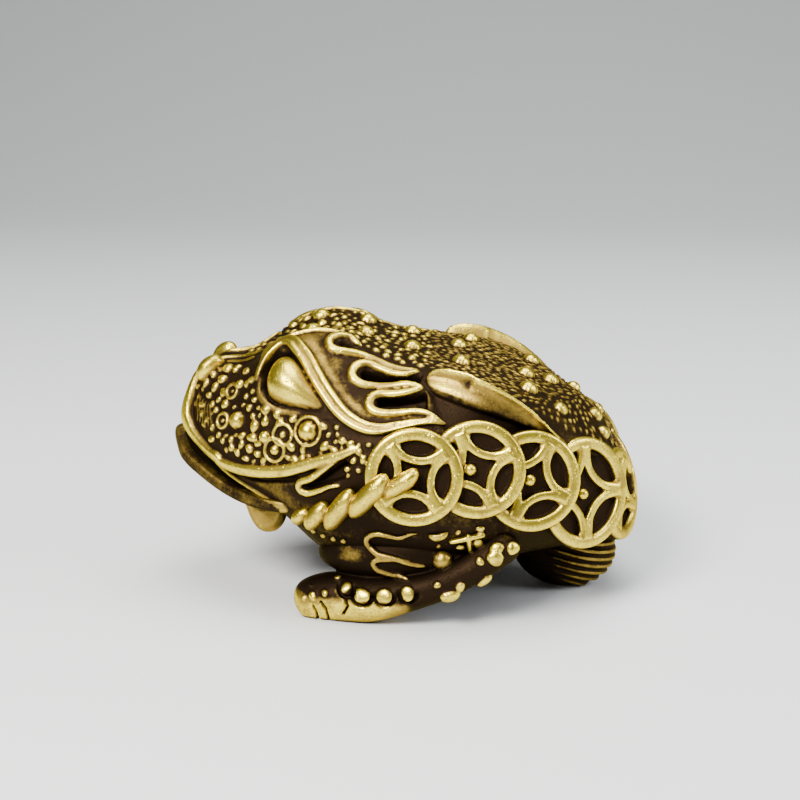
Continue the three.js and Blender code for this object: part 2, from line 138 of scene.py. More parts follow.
FLAME_RIM_2 = [(20.6, 4.4, 50.8), (21.5, 1.9, 50.4), (21, -0.9, 50.3), (20, -3.4, 50.8),
               (19.3, -6, 51.6), (20, -8.1, 51.7), (21.6, -9.3, 50.7), (23, -8.8, 49.4),
               (23.6, -7.1, 48.5), (23.6, -4.4, 48.1), (23.7, -0.6, 48.3), (23.9, 2.4, 48.8),
               (25, 5.6, 48.4)]
FLAME_RIM_3 = [(25, 5.6, 48.4), (25.3, 2.5, 47.6), (25.2, -0.2, 47.1), (24.9, -3.2, 46.8),
               (25.7, -4.9, 46.2), (26.7, -5.2, 45), (27.5, -4.2, 44), (27.9, -2, 43.7),
               (28.2, 1.2, 44), (28.5, 4.4, 44.5), (29, 7.1, 44.1), (29.8, 9.8, 42.7)]
SLOTS = [
    [(-13.1, 55.4), (-12.3, 55.7), (-10.4, 55.2), (-8.2, 54.3), (-10.2, 54.3), (-12.1, 54.8)],
    [(-7.8, 50.3), (-6.9, 50.9), (-4.7, 50.4), (-1.9, 49.8), (1.1, 49.9), (5, 50.6), (4.5, 49.4),
     (2.1, 49.0), (-1.2, 48.8), (-4.7, 48.7), (-7, 49.3)],
    [(-3.8, 45.4), (-3.3, 46.3), (-0.1, 46.5), (2.9, 47.1), (6, 48), (6.4, 46.8), (6.4, 44.9),
     (3.1, 44.8), (-0.2, 44.4), (-2.8, 44.4)],
]
PLATE = [(-28.2, 50), (-27.6, 53.4), (-26, 55), (-22, 56.6), (-16.3, 57.2), (-13, 56.7), (-10, 55.5),
         (-7.9, 54.3), (-5, 52.6), (-0.5, 51.1), (4.4, 50.8), (1.9, 50.2), (5.6, 48.4), (2.6, 47.2),
         (7.1, 44.1), (10.4, 42.3), (6.7, 42.9), (-2.1, 41.1), (-5.8, 41.4), (-8.6, 42.5),
         (-13.3, 46.1), (-15.8, 49), (-18.4, 52.4), (-21, 54.4), (-24.1, 55), (-26.4, 53.5)]
PLATE_TOP = [(17.6, -28.4, 50.4), (14.6, -28, 52.6), (13, -26, 54.2), (12.8, -23.5, 55.4),
             (12.6, -20, 56.6), (12.4, -16, 56.9), (12.6, -13, 56.7), (13, -11, 56.2), (14, -9, 55)]
SOCKET = [(-28.8, 46.4), (-28.9, 49.6), (-27.8, 52.2), (-25.6, 53.9), (-22.7, 54), (-18.9, 51.6), (-14.7, 46.4),
          (-13.4, 43.9), (-17.5, 43.4), (-21.8, 43), (-26, 43.8)]
LOWER_LID = [(19, -29.2, 47.2), (20.3, -28.7, 45), (22, -26.8, 43.5), (23.4, -24.1, 42.6),
             (24.4, -20.9, 42.5), (25.4, -18.3, 42.2), (26.6, -15.4, 42.1), (27.5, -12.5, 42.4)]
LIP_FRONT = [(2.4, -45.4, 45.6), (4.4, -46.2, 44.8), (6, -47.3, 42.4), (6.8, -47.8, 39.5), (7.6, -47, 36.6),
             (10, -44.9, 34), (12.9, -41.9, 32.2), (15.6, -39.6, 31.2), (17.3, -38, 30.9)]
LIP_SIDE = [(12.8, -42.4, 31.6), (14.6, -40.6, 30.6), (17.8, -37.2, 30.1), (20.7, -33.5, 29.7),
            (22.9, -29.9, 29.8), (25, -25.9, 30.3), (26.6, -22.1, 31.1), (27.9, -18.3, 32.5),
            (28.9, -15.1, 33.8), (30, -11.4, 35.2), (30.6, -8.9, 36.4), (30.9, -6.2, 37.8)]
LIP_HOOK = [(30.7, -8.9, 36), (30.1, -11.7, 34.2), (29.4, -14.2, 32.2), (28.7, -16.8, 30.2),
            (28, -19, 29.1), (28.1, -19.1, 27.7), (28.7, -17.4, 27.1), (29.6, -14.8, 28),
            (30.2, -12.8, 29), (31, -10.3, 29.5)]
JAW_RIDGE = [(8.6, -45.6, 31.6), (11.2, -43.2, 30.2), (13.6, -41, 28.4), (15.6, -38.4, 26.6),
             (17.8, -35.3, 25.3), (20.2, -32.6, 24.2), (22.4, -29.9, 23.5), (24.1, -27.3, 22.9),
             (25.2, -24.6, 22.4), (26, -21.8, 22.3)]
NOSTRIL = [(7.8, -44.4, 45, 0.7), (7.6, -43, 46.2, 1.1), (7.2, -41.4, 47.2, 1.3), (6.6, -39.8, 48, 1.1),
           (6.2, -38.6, 48.5, 0.6)]
NOSE_TOP = [(4.6, -41.6, 49.2), (3.9, -39.6, 50), (3.8, -37.6, 50.3), (4.4, -35.4, 50), (6, -33, 50.2),
            (8.2, -31.2, 51), (10.4, -29.4, 52.4)]
NOSE_LOW = [(6.4, -38.6, 48.8), (7.4, -36, 48.9), (9, -33.4, 49.6), (11, -31, 51)]
THIGH_CREST = [(22.8, 5.8, 48.7), (23.7, 9, 48), (24.7, 13, 47.1), (25.5, 17, 46.1), (25.7, 21, 45), (25.4, 25, 43.3),
               (24.9, 28.5, 41.2), (24, 31.8, 38.4), (22.7, 34.2, 35.5), (21.5, 35.4, 33.1)]

# Warts: on the cheek and flank by y and z, on the back by x and y, with the radius. A ring also gives the
# radius of the pearl in its middle.
CHEEK_WARTS = [(-33.6, 39.2, 1.9), (-17.6, 39.4, 2.1), (-27, 37.1, 1.35), (-33.6, 46.0, 1.1)]
CHEEK_RINGS = [(-23.1, 38.1, 2.15, 0.8), (-24.8, 34.8, 2.3, 1.15), (-37.2, 38.5, 1.5, 0.6),
               (-17.6, 39.4, 2.9, 0), (-35.4, 44.4, 1.5, 0.5)]
CHEEK_PEARLS = [(-29.4, 38.9, 0.95), (-27, 40.2, 0.85), (-23.7, 40.4, 0.8), (-24.5, 41.9, 0.75),
                (-27.1, 42.4, 0.8), (-30.9, 42.2, 0.7), (-21, 41.3, 0.75), (-21.1, 35.8, 0.75),
                (-18.6, 35.6, 0.7), (-13.9, 36.9, 0.9), (-10.2, 38.4, 0.7), (-14.3, 40.7, 0.7),
                (-30.5, 34.2, 0.8), (-28.7, 33.4, 0.7), (-29.9, 36.5, 0.9), (-38.1, 35.5, 0.6),
                (-37, 34.6, 0.6), (-34.8, 33.7, 0.65), (-32.4, 34.7, 0.7), (-40.2, 41, 0.6),
                (-39.1, 40.2, 0.6), (-37.4, 48, 1.0), (-35.1, 48.3, 0.9), (-32.4, 48.6, 0.8),
                (-38.2, 46.1, 1.0), (-37.5, 43.8, 0.8), (-36.9, 41.7, 0.8), (-21.8, 33.6, 0.55),
                (-7.8, 34.8, 0.65), (-6.7, 36.5, 0.6), (-9.1, 33, 0.6), (-39.8, 44.4, 0.8),
                (-41.2, 42.6, 0.7), (-40.6, 46.6, 0.8)]
BACK_WARTS = [(-8.6, -20.1, 1.9), (-7.9, -9.8, 1.9), (2.5, -8.9, 1.9), (-9.2, -0.1, 1.9), (6.8, 1.4, 2.0),
              (-4.9, 10.3, 1.9), (11, 11.9, 2), (2.7, 25.2, 2.0), (13.9, 26, 2.1), (-0.3, 30.4, 1.9),
              (14.6, 32.6, 1.7), (4.5, 39.9, 1.7), (8, 41.6, 1.6), (-13.3, 25.8, 1.9), (-6.2, 35.3, 1.7),
              (-14, 12.5, 1.9), (-9, 40.6, 1.6), (-9.1, -26.4, 1.1), (-4.3, -19.3, 1.2), (-1.1, -15.3, 1.1),
              (1.7, -12.2, 0.9), (7.5, -19.5, 1.9), (9.2, -26, 1.2), (15.5, -3.1, 0.9), (15.2, 2.2, 1.0),
              (6.3, -5.9, 0.9), (-1.3, -3.3, 0.9)]

# Coins of one side, from the rope to the rump: middle, turn towards the rump, twist and size.
COINS = [((35.2, 4.6, 32.8), 0.07, -0.12, 1.0), ((33.4, 16.7, 34.2), 0.07, -0.34, 1.0),
         ((29.5, 27.7, 31.1), 0.33, 0.28, 1.04), ((21.2, 38.5, 26.6), 0.74, 0.7, 1.17),
         ((8, 46.2, 22.8), 1.2, 0.2, 1.0)]
# A coin leans outwards, and its body tapers inwards under its pocket. Four bowed bars end under its ring,
# on webs. Some coins have a knob in the middle, given by the place along the row and its shift.
COIN_LEAN = 0.17
COIN_DEPTH = 6.2
COIN_TAPER = 0.72
COIN_POCKET = 1.5
COIN_BOW = 0.42
BAR_END = 0.9
BAR_HALF_TURN = 0.77
WEB = (1.85, 1.85, 0.72)
KNOBS = {1: (-1.2, 0), 2: (-0.4, 0.2), 3: (-0.4, -0.2)}
KNOB_RADIUS = 1.3

# Rope strands: middle, way, half length and radius.
STRANDS = [((36.2, 2.1, 31.8), (0.08, 0.7, 0.71), 4.4, 1.68), ((35.6, -4.4, 28.9), (0.16, 0.59, 0.8), 6.1, 1.95),
           ((32.7, -10.6, 25), (0.22, 0.47, 0.88), 5.4, 1.95), ((30, -15.6, 22.8), (0.22, 0.47, 0.88), 3.7, 1.8),
           ((28, -19.2, 22), (0.2, 0.5, 0.86), 2.2, 1.35)]

# Rings round the hide and rows along it: of the form that carving is laid on, and of the mesh itself.
SKIN_FORM = (12, 150)
HIDE_FORM = (36, 352)
HIDE_LIMIT, LIMBS_LIMIT, COINS_LIMIT, ROPE_LIMIT = 194000, 150000, 150000, 24000


# Reading and writing meshes.
def deselect():
    if bpy.context.object and bpy.context.object.mode != "OBJECT":
        bpy.ops.object.mode_set(mode="OBJECT")
    bpy.ops.object.select_all(action="DESELECT")


def make_active(obj):
    deselect()
    obj.select_set(True)
    bpy.context.view_layer.objects.active = obj
    return obj


def values_of(items, name, width, kind=np.float32):
    """A row of values for each item of a mesh."""
    flat = np.empty(len(items) * width, kind)
    items.foreach_get(name, flat)
    return flat.reshape(-1, width)


def points_of(obj):
    return values_of(obj.data.vertices, "co", 3).astype(float)


def set_points(obj, points):
    obj.data.vertices.foreach_set("co", points.astype(np.float32).ravel())
    obj.data.update()


def normals_of(obj):
    return values_of(obj.data.vertex_normals, "vector", 3).astype(float)


def faces_of(obj):
    return [tuple(p.vertices) for p in obj.data.polygons]


def tree_of(obj):
    return BVHTree.FromPolygons(points_of(obj).tolist(), faces_of(obj))


def new_object(name, data):
    obj = bpy.data.objects.new(name, data)
    bpy.context.scene.collection.objects.link(obj)
    return obj


def mesh_object(name, points, faces):
    mesh = bpy.data.meshes.new(name)
    mesh.from_pydata(points.tolist(), [], faces.tolist())
    mesh.update()
    return new_object(name, mesh)


def take(name):
    obj = bpy.context.object
    obj.name = name
    obj.data.name = name
    return obj


def joined(name, objects):
    deselect()
    for obj in objects:
        obj.select_set(True)
    bpy.context.view_layer.objects.active = objects[0]
    bpy.ops.object.join()
    return take(name)


def apply_modifier(obj, kind, **values):
    make_active(obj)
    modifier = obj.modifiers.new(kind.lower(), kind)
    for key, value in values.items():
        setattr(modifier, key, value)
    bpy.ops.object.modifier_apply(modifier=modifier.name)


def store(obj, name, values):
    layer = obj.data.attributes.new(name, "FLOAT", "POINT")
    layer.data.foreach_set("value", values.astype(np.float32))


def over_skin(points, tree):
    """How high each place stands over the smooth form, in hundredths."""
    found = [tree.find_nearest(p) for p in points.tolist()]
    places = np.array([f[0] for f in found])
    out = np.array([f[1] for f in found])
    return np.sum((points - places) * out, 1)


def triangles(obj):
    return sum(len(p.vertices) - 2 for p in obj.data.polygons)


def fuse(obj, cell, soften=2):
    """Melts overlapping closed forms into one skin, softened as a casting is."""
    apply_modifier(obj, "REMESH", mode="VOXEL", voxel_size=cell, adaptivity=0.0)
    apply_modifier(obj, "SMOOTH", factor=0.5, iterations=soften)


def thin(obj, limit):
    count = triangles(obj)
    if count > limit:
        apply_modifier(obj, "DECIMATE", ratio=limit / count, use_collapse_triangulate=True)


def finish_piece(obj):
    """Takes a piece from hundredths to metres and hands it to the frame."""
    points = points_of(obj) * PART
    points[:, 1] += ALONG
    set_points(obj, points)
    make_active(obj)
    bpy.ops.object.shade_smooth()
    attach(obj, "root")


def above_floor(points):
    return np.maximum(points, [-np.inf, -np.inf, 0])


# Curves and forms.
def unit(v):
    return v / np.maximum(np.linalg.norm(v, axis=-1, keepdims=True), 1e-9)


def smoothstep(low, high, value):
    t = np.clip((value - low) / (high - low), 0, 1)
    return t * t * (3 - 2 * t)


def round_steps(count):
    """Cosines and sines of even steps round a circle."""
    turn = np.linspace(0, 2 * math.pi, count + 1)[:-1]
    return np.cos(turn), np.sin(turn)


def tube_faces(rows, around, closed=False):
    """Triangles of a tube of rings. It closes on itself, or fans to the two points that follow its rings."""
    i = np.arange(around)
    j = (i + 1) % around
    top, end = rows * around, (rows - 1) * around
    faces = [] if closed else [np.stack([np.full(around, top), j, i], 1),
                               np.stack([np.full(around, top + 1), end + i, end + j], 1)]
    for r in range(rows if closed else rows - 1):
        a, b = r * around, (r + 1) % rows * around
        faces += [np.stack([a + i, a + j, b + j], 1), np.stack([a + i, b + j, b + i], 1)]
    return np.vstack(faces)


def guide(points):
    """The sideways place and height of a guide line at any place along."""
    p = np.array(points, float)
    y = p[:, 1]
    n = len(p)
    before = np.maximum(np.arange(n) - 1, 0)
    after = np.minimum(np.arange(n) + 1, n - 1)
    slope = (p[after] - p[before]) / (y[after] - y[before])[:, None]

    def line(at):
        at = np.asarray(at, float)
        i = np.clip(np.searchsorted(y, at) - 1, 0, n - 2)
        span = (y[i + 1] - y[i])[:, None]
        t = np.clip((at - y[i]) / span[:, 0], 0, 1)[:, None]
        value = (p[i] * (1 - t) ** 2 * (1 + 2 * t) + p[i + 1] * t ** 2 * (3 - 2 * t)
                 + span * t * (1 - t) * (slope[i] * (1 - t) - slope[i + 1] * t))
        return value[:, 0], value[:, 2]

    return line


def closed_rings(knots, per):
    """Smooth closed rings through rows of knots."""
    a, b, c, d = (np.roll(knots, k, 1) for k in (1, 0, -1, -2))

    def gap(u, v):
        return np.maximum(np.sum((v - u) ** 2, -1) ** 0.25, 1e-4)[..., None]

    ab, bc, cd = gap(a, b), gap(b, c), gap(c, d)
    m1 = ((b - a) / ab - (c - a) / (ab + bc) + (c - b) / bc) * bc
    m2 = ((c - b) / bc - (d - b) / (bc + cd) + (d - c) / cd) * bc
    rows = []
    for k in range(per):
        t = k / per
        rows.append(b * (1 + 2 * t) * (1 - t) ** 2 + c * t * t * (3 - 2 * t)
                    + m1 * t * (1 - t) ** 2 - m2 * t * t * (1 - t))
    return np.stack(rows, 2).reshape(knots.shape[0], -1, knots.shape[2])


def hide_rings(along, per):
    knots = np.zeros((len(along), 12, 3))
    for k, line in enumerate((SPINE, CREST, BROW, FLANK, SHOULDER, KEEL, BELLY)):
        x, z = guide(line)(along)
        knots[:, k] = np.stack([x, along, z], 1)
    for k in range(5):
        knots[:, 11 - k] = knots[:, 1 + k] * [-1, 1, 1]
    return closed_rings(knots, per)


def dense(points, step=0.45):
    """An even run of points along a smooth open line through the given ones."""
    p = np.array(points, float)
    p = np.vstack([2 * p[0] - p[1], p, 2 * p[-1] - p[-2]])
    rows = []
    for i in range(1, len(p) - 2):
        a, b, c, d = p[i - 1:i + 3]
        t = np.linspace(0, 1, 24, endpoint=False)[:, None]
        rows.append(0.5 * (2 * b + (c - a) * t + (2 * a - 5 * b + 4 * c - d) * t ** 2
                           + (3 * b - a - 3 * c + d) * t ** 3))
    rows.append(p[-2:-1])
    line = np.vstack(rows)
    run = np.concatenate([[0], np.cumsum(np.linalg.norm(np.diff(line[:, :3], axis=0), axis=1))])
    at = np.linspace(0, run[-1], max(int(run[-1] / step), 4))
    return np.stack([np.interp(at, run, line[:, k]) for k in range(line.shape[1])], 1)


def to_polygon(points, polygon):
    """Signed distance of 2-D points to a polygon, negative inside."""
    poly = np.array(polygon, float)
    best = np.full(len(points), 1e9)
    inside = np.zeros(len(points), bool)
    for a, b in zip(poly, np.roll(poly, -1, 0)):
        e = b - a
        w = points - a
        t = np.clip((w @ e) / max(e @ e, 1e-9), 0, 1)
        best = np.minimum(best, np.linalg.norm(w - t[:, None] * e, axis=1))
        crosses = (a[1] > points[:, 1]) != (b[1] > points[:, 1])
        with np.errstate(divide="ignore", invalid="ignore"):
            at = a[0] + (points[:, 1] - a[1]) / (b[1] - a[1]) * e[0]
        inside ^= crosses & (points[:, 0] < at)
    return np.where(inside, -best, best)


class Clay:
    """A heap of closed forms, kept as one list of points and one of triangles."""

    def __init__(self):
        self.points = []
        self.faces = []
        self.count = 0

    def add(self, points, faces):
        self.points.append(np.asarray(points, float))
        self.faces.append(np.asarray(faces, int) + self.count)
        self.count += len(points)

    def merged(self):
        return np.vstack(self.points), np.vstack(self.faces)

    def both_sides(self):
        points, faces = self.merged()
        self.add(points * [-1, 1, 1], faces[:, ::-1])

    def tree(self):
        points, faces = self.merged()
        return BVHTree.FromPolygons(points.tolist(), faces.tolist())

    def to_object(self, name):
        return mesh_object(name, *self.merged())


class Skin:
    """A smooth form that carving is laid on."""

    def __init__(self, tree):
        self.tree = tree

    def hug(self, points):
        """The nearest places on the skin, with the way out at each."""
        found = [self.tree.find_nearest(Vector(p[:3])) for p in points]
        places = np.array([f[0] for f in found])
        out = np.array([f[1] for f in found])
        for _ in range(3):
            middle = out.copy()
            middle[1:-1] = (out[:-2] + 2 * out[1:-1] + out[2:]) / 4
            out = unit(middle)
        return places, out

    def seen(self, start, direction):
        place, out, _, _ = self.tree.ray_cast(Vector(start), Vector(direction))
        if place is None:
            raise ValueError(f"nothing of the skin is seen from {start}")
        return np.array(place), np.array(out)

    def on_side(self, y, z):
        return self.seen((90, y, z), (-1, 0, 0))

    def on_top(self, x, y):
        return self.seen((x, y, 120), (0, 0, -1))


def ridge_profile(width, height, depth, steps=9):
    """A broad ridge with a softly flat top, cut across, its foot sunk below the skin."""
    turn = np.linspace(0, math.pi, steps)
    c, s = np.cos(turn), np.sin(turn)
    top = np.stack([width / 2 * np.sign(c) * np.abs(c) ** 0.8, height * s ** 0.62], 1)
    return np.vstack([top, [[-width / 2 * 1.08, -depth], [width / 2 * 1.08, -depth]]])


def band_profile(width, height, depth, groove):
    """A flat band with a groove along its middle."""
    w, h = width / 2, height
    return np.array([[w, 0], [w * 0.98, h * 0.6], [w * 0.8, h * 0.96], [w * 0.5, h], [w * 0.2, h * 0.9],
                     [w * 0.06, h - groove], [-w * 0.08, h - groove], [-w * 0.22, h * 0.88],
                     [-w * 0.5, h * 0.97], [-w * 0.82, h * 0.9], [-w, h * 0.5], [-w, 0],
                     [-w * 1.1, -depth], [w * 1.1, -depth]])


def sweep(clay, places, out, profile, girth=None, ends=1.0):
    """Draws a profile along a line of places, and rounds both ends off."""
    forward = unit(np.gradient(places, axis=0))
    up = unit(out - np.sum(out * forward, 1)[:, None] * forward)
    across = np.cross(up, forward)
    run = np.concatenate([[0], np.cumsum(np.linalg.norm(np.diff(places, axis=0), axis=1))])
    near = np.minimum(run, run[-1] - run) / max(ends, 1e-6)
    size = np.sqrt(np.clip(1 - (1 - np.clip(near, 0, 1)) ** 2, 0.0004, 1))
    if girth is not None:
        size = size * girth
    rings = (places[:, None] + across[:, None] * profile[None, :, :1] * size[:, None, None]
             + up[:, None] * profile[None, :, 1:] * size[:, None, None])
    points = np.vstack([rings.reshape(-1, 3), rings[0].mean(0), rings[-1].mean(0)])
    n, k = len(places), len(profile)
    i = np.arange(k)
    j = (i + 1) % k
    faces = []
    for a, b in zip(range(0, (n - 1) * k, k), range(k, n * k, k)):
        faces += [np.stack([a + i, b + j, b + i], 1), np.stack([a + i, a + j, b + j], 1)]
    faces.append(np.stack([np.full(k, n * k), j, i], 1))
    faces.append(np.stack([np.full(k, n * k + 1), (n - 1) * k + i, (n - 1) * k + j], 1))
    clay.add(points, np.vstack(faces))


# Forms and the skin, kept once made.
WORK = {}


def ball(segments, rings):
    """Points and triangles of a round ball of radius 1. The modifier leaves them in no fixed order."""
    key = segments, rings
    if key not in WORK:
        deselect()
        bpy.ops.mesh.primitive_uv_sphere_add(segments=segments, ring_count=rings, radius=1)
        obj = take("ball")
        apply_modifier(obj, "TRIANGULATE")
        WORK[key] = points_of(obj), np.array(sorted(faces_of(obj)))
        bpy.data.objects.remove(obj)
    return WORK[key]


def stand_on(points, place, out, turn=0.0):
    """Turns points so that their z is the way out, and sets them on a place."""
    up = unit(np.asarray(out, float))
    side = unit(np.cross(up, [0.0, 0.6, 1.0]))
    other = np.cross(up, side)
    c, s = math.cos(turn), math.sin(turn)
    return points @ np.stack([c * side + s * other, -s * side + c * other, up]) + place


def add_pearl(clay, place, out, radius, rise=0.8, stretch=1.0, turn=0.0):
    points, faces = ball(10, 6)
    clay.add(stand_on(points * [radius * stretch, radius, radius * rise], place, out, turn), faces)


def add_pebble(clay, place, out, radius, rng, rise=0.9, stretch=1.0):
    """A low lump with a flat top and an uneven outline."""
    points, faces = ball(12, 8)
    round_ = np.arctan2(points[:, 1], points[:, 0])
    uneven = 1 + 0.07 * np.cos(3 * round_ + 6 * rng.random()) + 0.12 * np.cos(2 * round_ + 6 * rng.random())
    top = np.sign(points[:, 2]) * np.abs(points[:, 2]) ** 0.75
    shape = np.stack([points[:, 0] * uneven * stretch, points[:, 1] * uneven, top * rise], 1) * radius
    clay.add(stand_on(shape, place, out, 6 * rng.random()), faces)


def add_wart(clay, place, out, radius, rise=0.95, lobes=7, turn=0.0):
    """A proud wart, cut into lobes by grooves that run down from its top."""
    points, faces = ball(42, 20)
    round_ = np.arctan2(points[:, 1], points[:, 0])
    skirt = np.sqrt(np.clip(1 - points[:, 2] ** 2, 0, 1))
    cut = 1 - 0.16 * skirt[:, None] * (np.abs(np.cos(round_ * lobes / 2)) < 0.32)[:, None]
    shape = points * cut * [radius, radius, radius * rise]
    clay.add(stand_on(shape, place, out, turn), faces)


def add_ring(clay, place, out, radius, width, height):
    across = unit(np.cross(out, [0.0, 0.6, 1.0]))
    other = np.cross(out, across)
    c, s = round_steps(28)
    radial = c[:, None] * across + s[:, None] * other
    circle = place + radius * radial
    c, s = round_steps(6)
    rings = (circle[:, None] + radial[:, None] * (width / 2 * c)[None, :, None]
             + np.asarray(out) * (height * s)[None, :, None])
    clay.add(rings.reshape(-1, 3), tube_faces(28, 6, closed=True))


def add_line(clay, skin, path, profile, girth=None, ends=1.0, lift=0.0):
    """Draws a carved line that follows the skin. A fourth value of its points is the girth there."""
    line = dense(path)
    places, out = skin.hug(line)
    run = np.linspace(0, 1, len(line))
    if line.shape[1] > 3:
        girth = line[:, 3]
    elif girth is not None:
        girth = np.interp(run, np.linspace(0, 1, len(girth)), girth)
    sweep(clay, places + out * lift, out, profile, girth, ends)


def side_line(skin, path):
    """Places on the left side for points given along and up."""
    return [skin.on_side(y, z)[0] for y, z in path]


def scatter(rng, outline, gap, avoid, tries):
    """Loose, even places inside an outline, clear of those to avoid (place and reach)."""
    shape = np.array(outline, float)
    spots = shape.min(0) + rng.random((tries, 2)) * np.ptp(shape, axis=0)
    spots = spots[to_polygon(spots, outline) < -0.3]
    taken = [a[:2] for a in avoid]
    reach = [a[2] for a in avoid]
    kept = []
    for spot in spots:
        far = np.linalg.norm(np.array(taken) - spot, axis=1) - np.array(reach)
        if far.min() > gap / 2:
            taken.append(tuple(spot))
            reach.append(gap / 2)
            kept.append(spot)
    return kept


# The head and the body.
SNOUT_DOME = 1.2
RUMP_DOME = 0.9
DOME_RINGS = 8


def hide_form(per_guide, count):
    """Points and faces of the hide before any carving: rings along the body, domed at snout and rump."""
    rings = hide_rings(np.linspace(-48, 46.5, count), per_guide)
    quarter = np.linspace(0, math.pi / 2, DOME_RINGS + 2)[1:-1]
    snout, rump = rings[0], rings[-1]
    front = [snout.mean(0) + (snout - snout.mean(0)) * math.sin(a) - [0, SNOUT_DOME * math.cos(a), 0]
             for a in quarter]
    back = [rump.mean(0) + (rump - rump.mean(0)) * math.sin(a) + [0, RUMP_DOME * math.cos(a), 0]
            for a in quarter[::-1]]
    rows = np.stack([*front, *rings, *back])
    poles = [snout.mean(0) - [0, SNOUT_DOME, 0], rump.mean(0) + [0, RUMP_DOME, 0]]
    return np.vstack([rows.reshape(-1, 3), poles]), tube_faces(*rows.shape[:2])


def skin_of_hide():
    if "skin" not in WORK:
        points, faces = hide_form(*SKIN_FORM)
        WORK["skin"] = Skin(BVHTree.FromPolygons(points.tolist(), faces.tolist()))
    return WORK["skin"]


CUSHION_STEP = 0.16
CUSHION_ROUNDS = 1600


def cushion(points, outline):
    """Height from 0 at an outline to 1 in the middle, like a skin blown up inside the outline."""
    step = CUSHION_STEP
    low, high = outline.min(0) - 2 * step, outline.max(0) + 2 * step
    count = np.ceil((high - low) / step).astype(int) + 1
    grid = np.stack(np.meshgrid(*(low[k] + step * np.arange(count[k]) for k in (0, 1)), indexing="ij"), 2)
    inside = (to_polygon(grid.reshape(-1, 2), outline) < 0).reshape(count)[1:-1, 1:-1]
    height = np.zeros(count)
    for _ in range(CUSHION_ROUNDS):
        around = height[2:, 1:-1] + height[:-2, 1:-1] + height[1:-1, 2:] + height[1:-1, :-2]
        height[1:-1, 1:-1] = np.where(inside, 0.25 * around + 0.01, 0)
    place = np.clip((points - low) / step, 0, count - 1.001)
    cell = place.astype(int)
    u, v = (place - cell).T
    i, j = cell.T
    here = ((1 - u) * (1 - v) * height[i, j] + u * (1 - v) * height[i + 1, j]
            + (1 - u) * v * height[i, j + 1] + u * v * height[i + 1, j + 1])
    return here / height.max()


def to_line(points, line):
    """Distance of 2-D points to an open line."""
    line = np.array(line, float)
    best = np.full(len(points), 1e9)
    for a, b in zip(line, line[1:]):
        e = b - a
        t = np.clip(((points - a) @ e) / (e @ e), 0, 1)
        best = np.minimum(best, np.linalg.norm(points - a - t[:, None] * e, axis=1))
    return best


EYE = [(-27.1, 46.2), (-27.3, 48.2), (-26.8, 50.2), (-25.8, 52), (-24.3, 53.1), (-22.9, 53.3), (-21.5, 52.9),
       (-19.8, 51.6), (-17.8, 49.2), (-15.4, 46.6), (-12.9, 44.3), (-13.6, 43.3), (-18, 43.1), (-21.5, 43.3),
       (-24.6, 43.9), (-26.5, 44.9)]
EYE_LINE = closed_rings(np.array([EYE]), 6)[0]
THIGH_FACE = [(6, 50.7), (11, 50.1), (17.4, 48.4), (25, 43.9), (30.6, 39.3), (30, 37), (24, 40.4), (14.4, 44.4),
              (6.4, 47.4)]
HOLLOW_FLANK = [(5, 50.4), (7.4, 50), (10, 49), (14, 47.9), (20, 46.3), (26, 43.4), (30.6, 39.8), (34.2, 34.6),
                (34, 30), (28, 32), (20, 35), (14, 38), (10.6, 40.6), (8.4, 43), (6.6, 46.4)]
HOOK_SLOT = [(-18.2, 28.7), (-15.4, 30.2), (-12.6, 32.4), (-9.4, 34.8), (-8.2, 33.6), (-9.6, 31),
             (-12.4, 29.8), (-15.2, 28.7), (-17.6, 27.8)]
EYE_RISE = 5.2
EYE_DEPTH = 1.7
SLOT_DEPTH = 2.6
SOCKET_DEPTH = 3.8
FLANK_DEPTH = 1.3
HOOK_DEPTH = 1.5
MOUTH_LINE_DEPTH = 0.9
MOUTH_DEPTH = 2.6
MOUTH_LINE = [(-42.4, 29.8), (-38, 28), (-33.4, 27.6), (-28, 27.9), (-23, 28.9), (-20, 29.6)]
MOUTH = [(-5.2, 33.4), (-5.6, 38), (-4.6, 42), (-2.4, 44), (2.4, 44), (4.6, 42), (5.6, 38), (5.2, 33.4)]


def carve_depths(points):
    """How far each place of the hide rises or sinks for the broad carving of eye, brow, flank and mouth."""
    x, y, z = np.abs(points[:, 0]), points[:, 1], points[:, 2]
    seen = np.stack([y, z], 1)
    edge = guide(CREST)(y)[0]
    flank = smoothstep(edge - 1.4, edge + 0.4, x)
    rise = 0.2 * smoothstep(0.4, -0.4, to_polygon(seen, PLATE)) * flank
    for slot in SLOTS:
        rise -= SLOT_DEPTH * smoothstep(0.15, -0.5, to_polygon(seen, slot)) * flank
    inner_corner = 0.3 + 0.7 * smoothstep(1.5, 11, (z - 46) - (y + 20))
    rise -= SOCKET_DEPTH * inner_corner * smoothstep(0.2, -1.0, to_polygon(seen, SOCKET)) * flank
    bulge = EYE_RISE * cushion(seen, EYE_LINE) ** 0.6 - EYE_DEPTH
    rise = np.where((to_polygon(seen, EYE_LINE) < 0) & (flank > 0.5), np.maximum(rise, bulge), rise)
    rise -= FLANK_DEPTH * smoothstep(0.3, -1.6, to_polygon(seen, HOLLOW_FLANK)) * flank
    low = x > 8
    rise -= HOOK_DEPTH * smoothstep(0.1, -0.6, to_polygon(seen, HOOK_SLOT)) * low
    rise -= MOUTH_LINE_DEPTH * smoothstep(0.9, 0.1, to_line(seen, MOUTH_LINE)) * low
    front = np.stack([points[:, 0], z], 1)
    rise -= MOUTH_DEPTH * smoothstep(0.2, -1.0, to_polygon(front, MOUTH)) * (y < -44)
    return rise


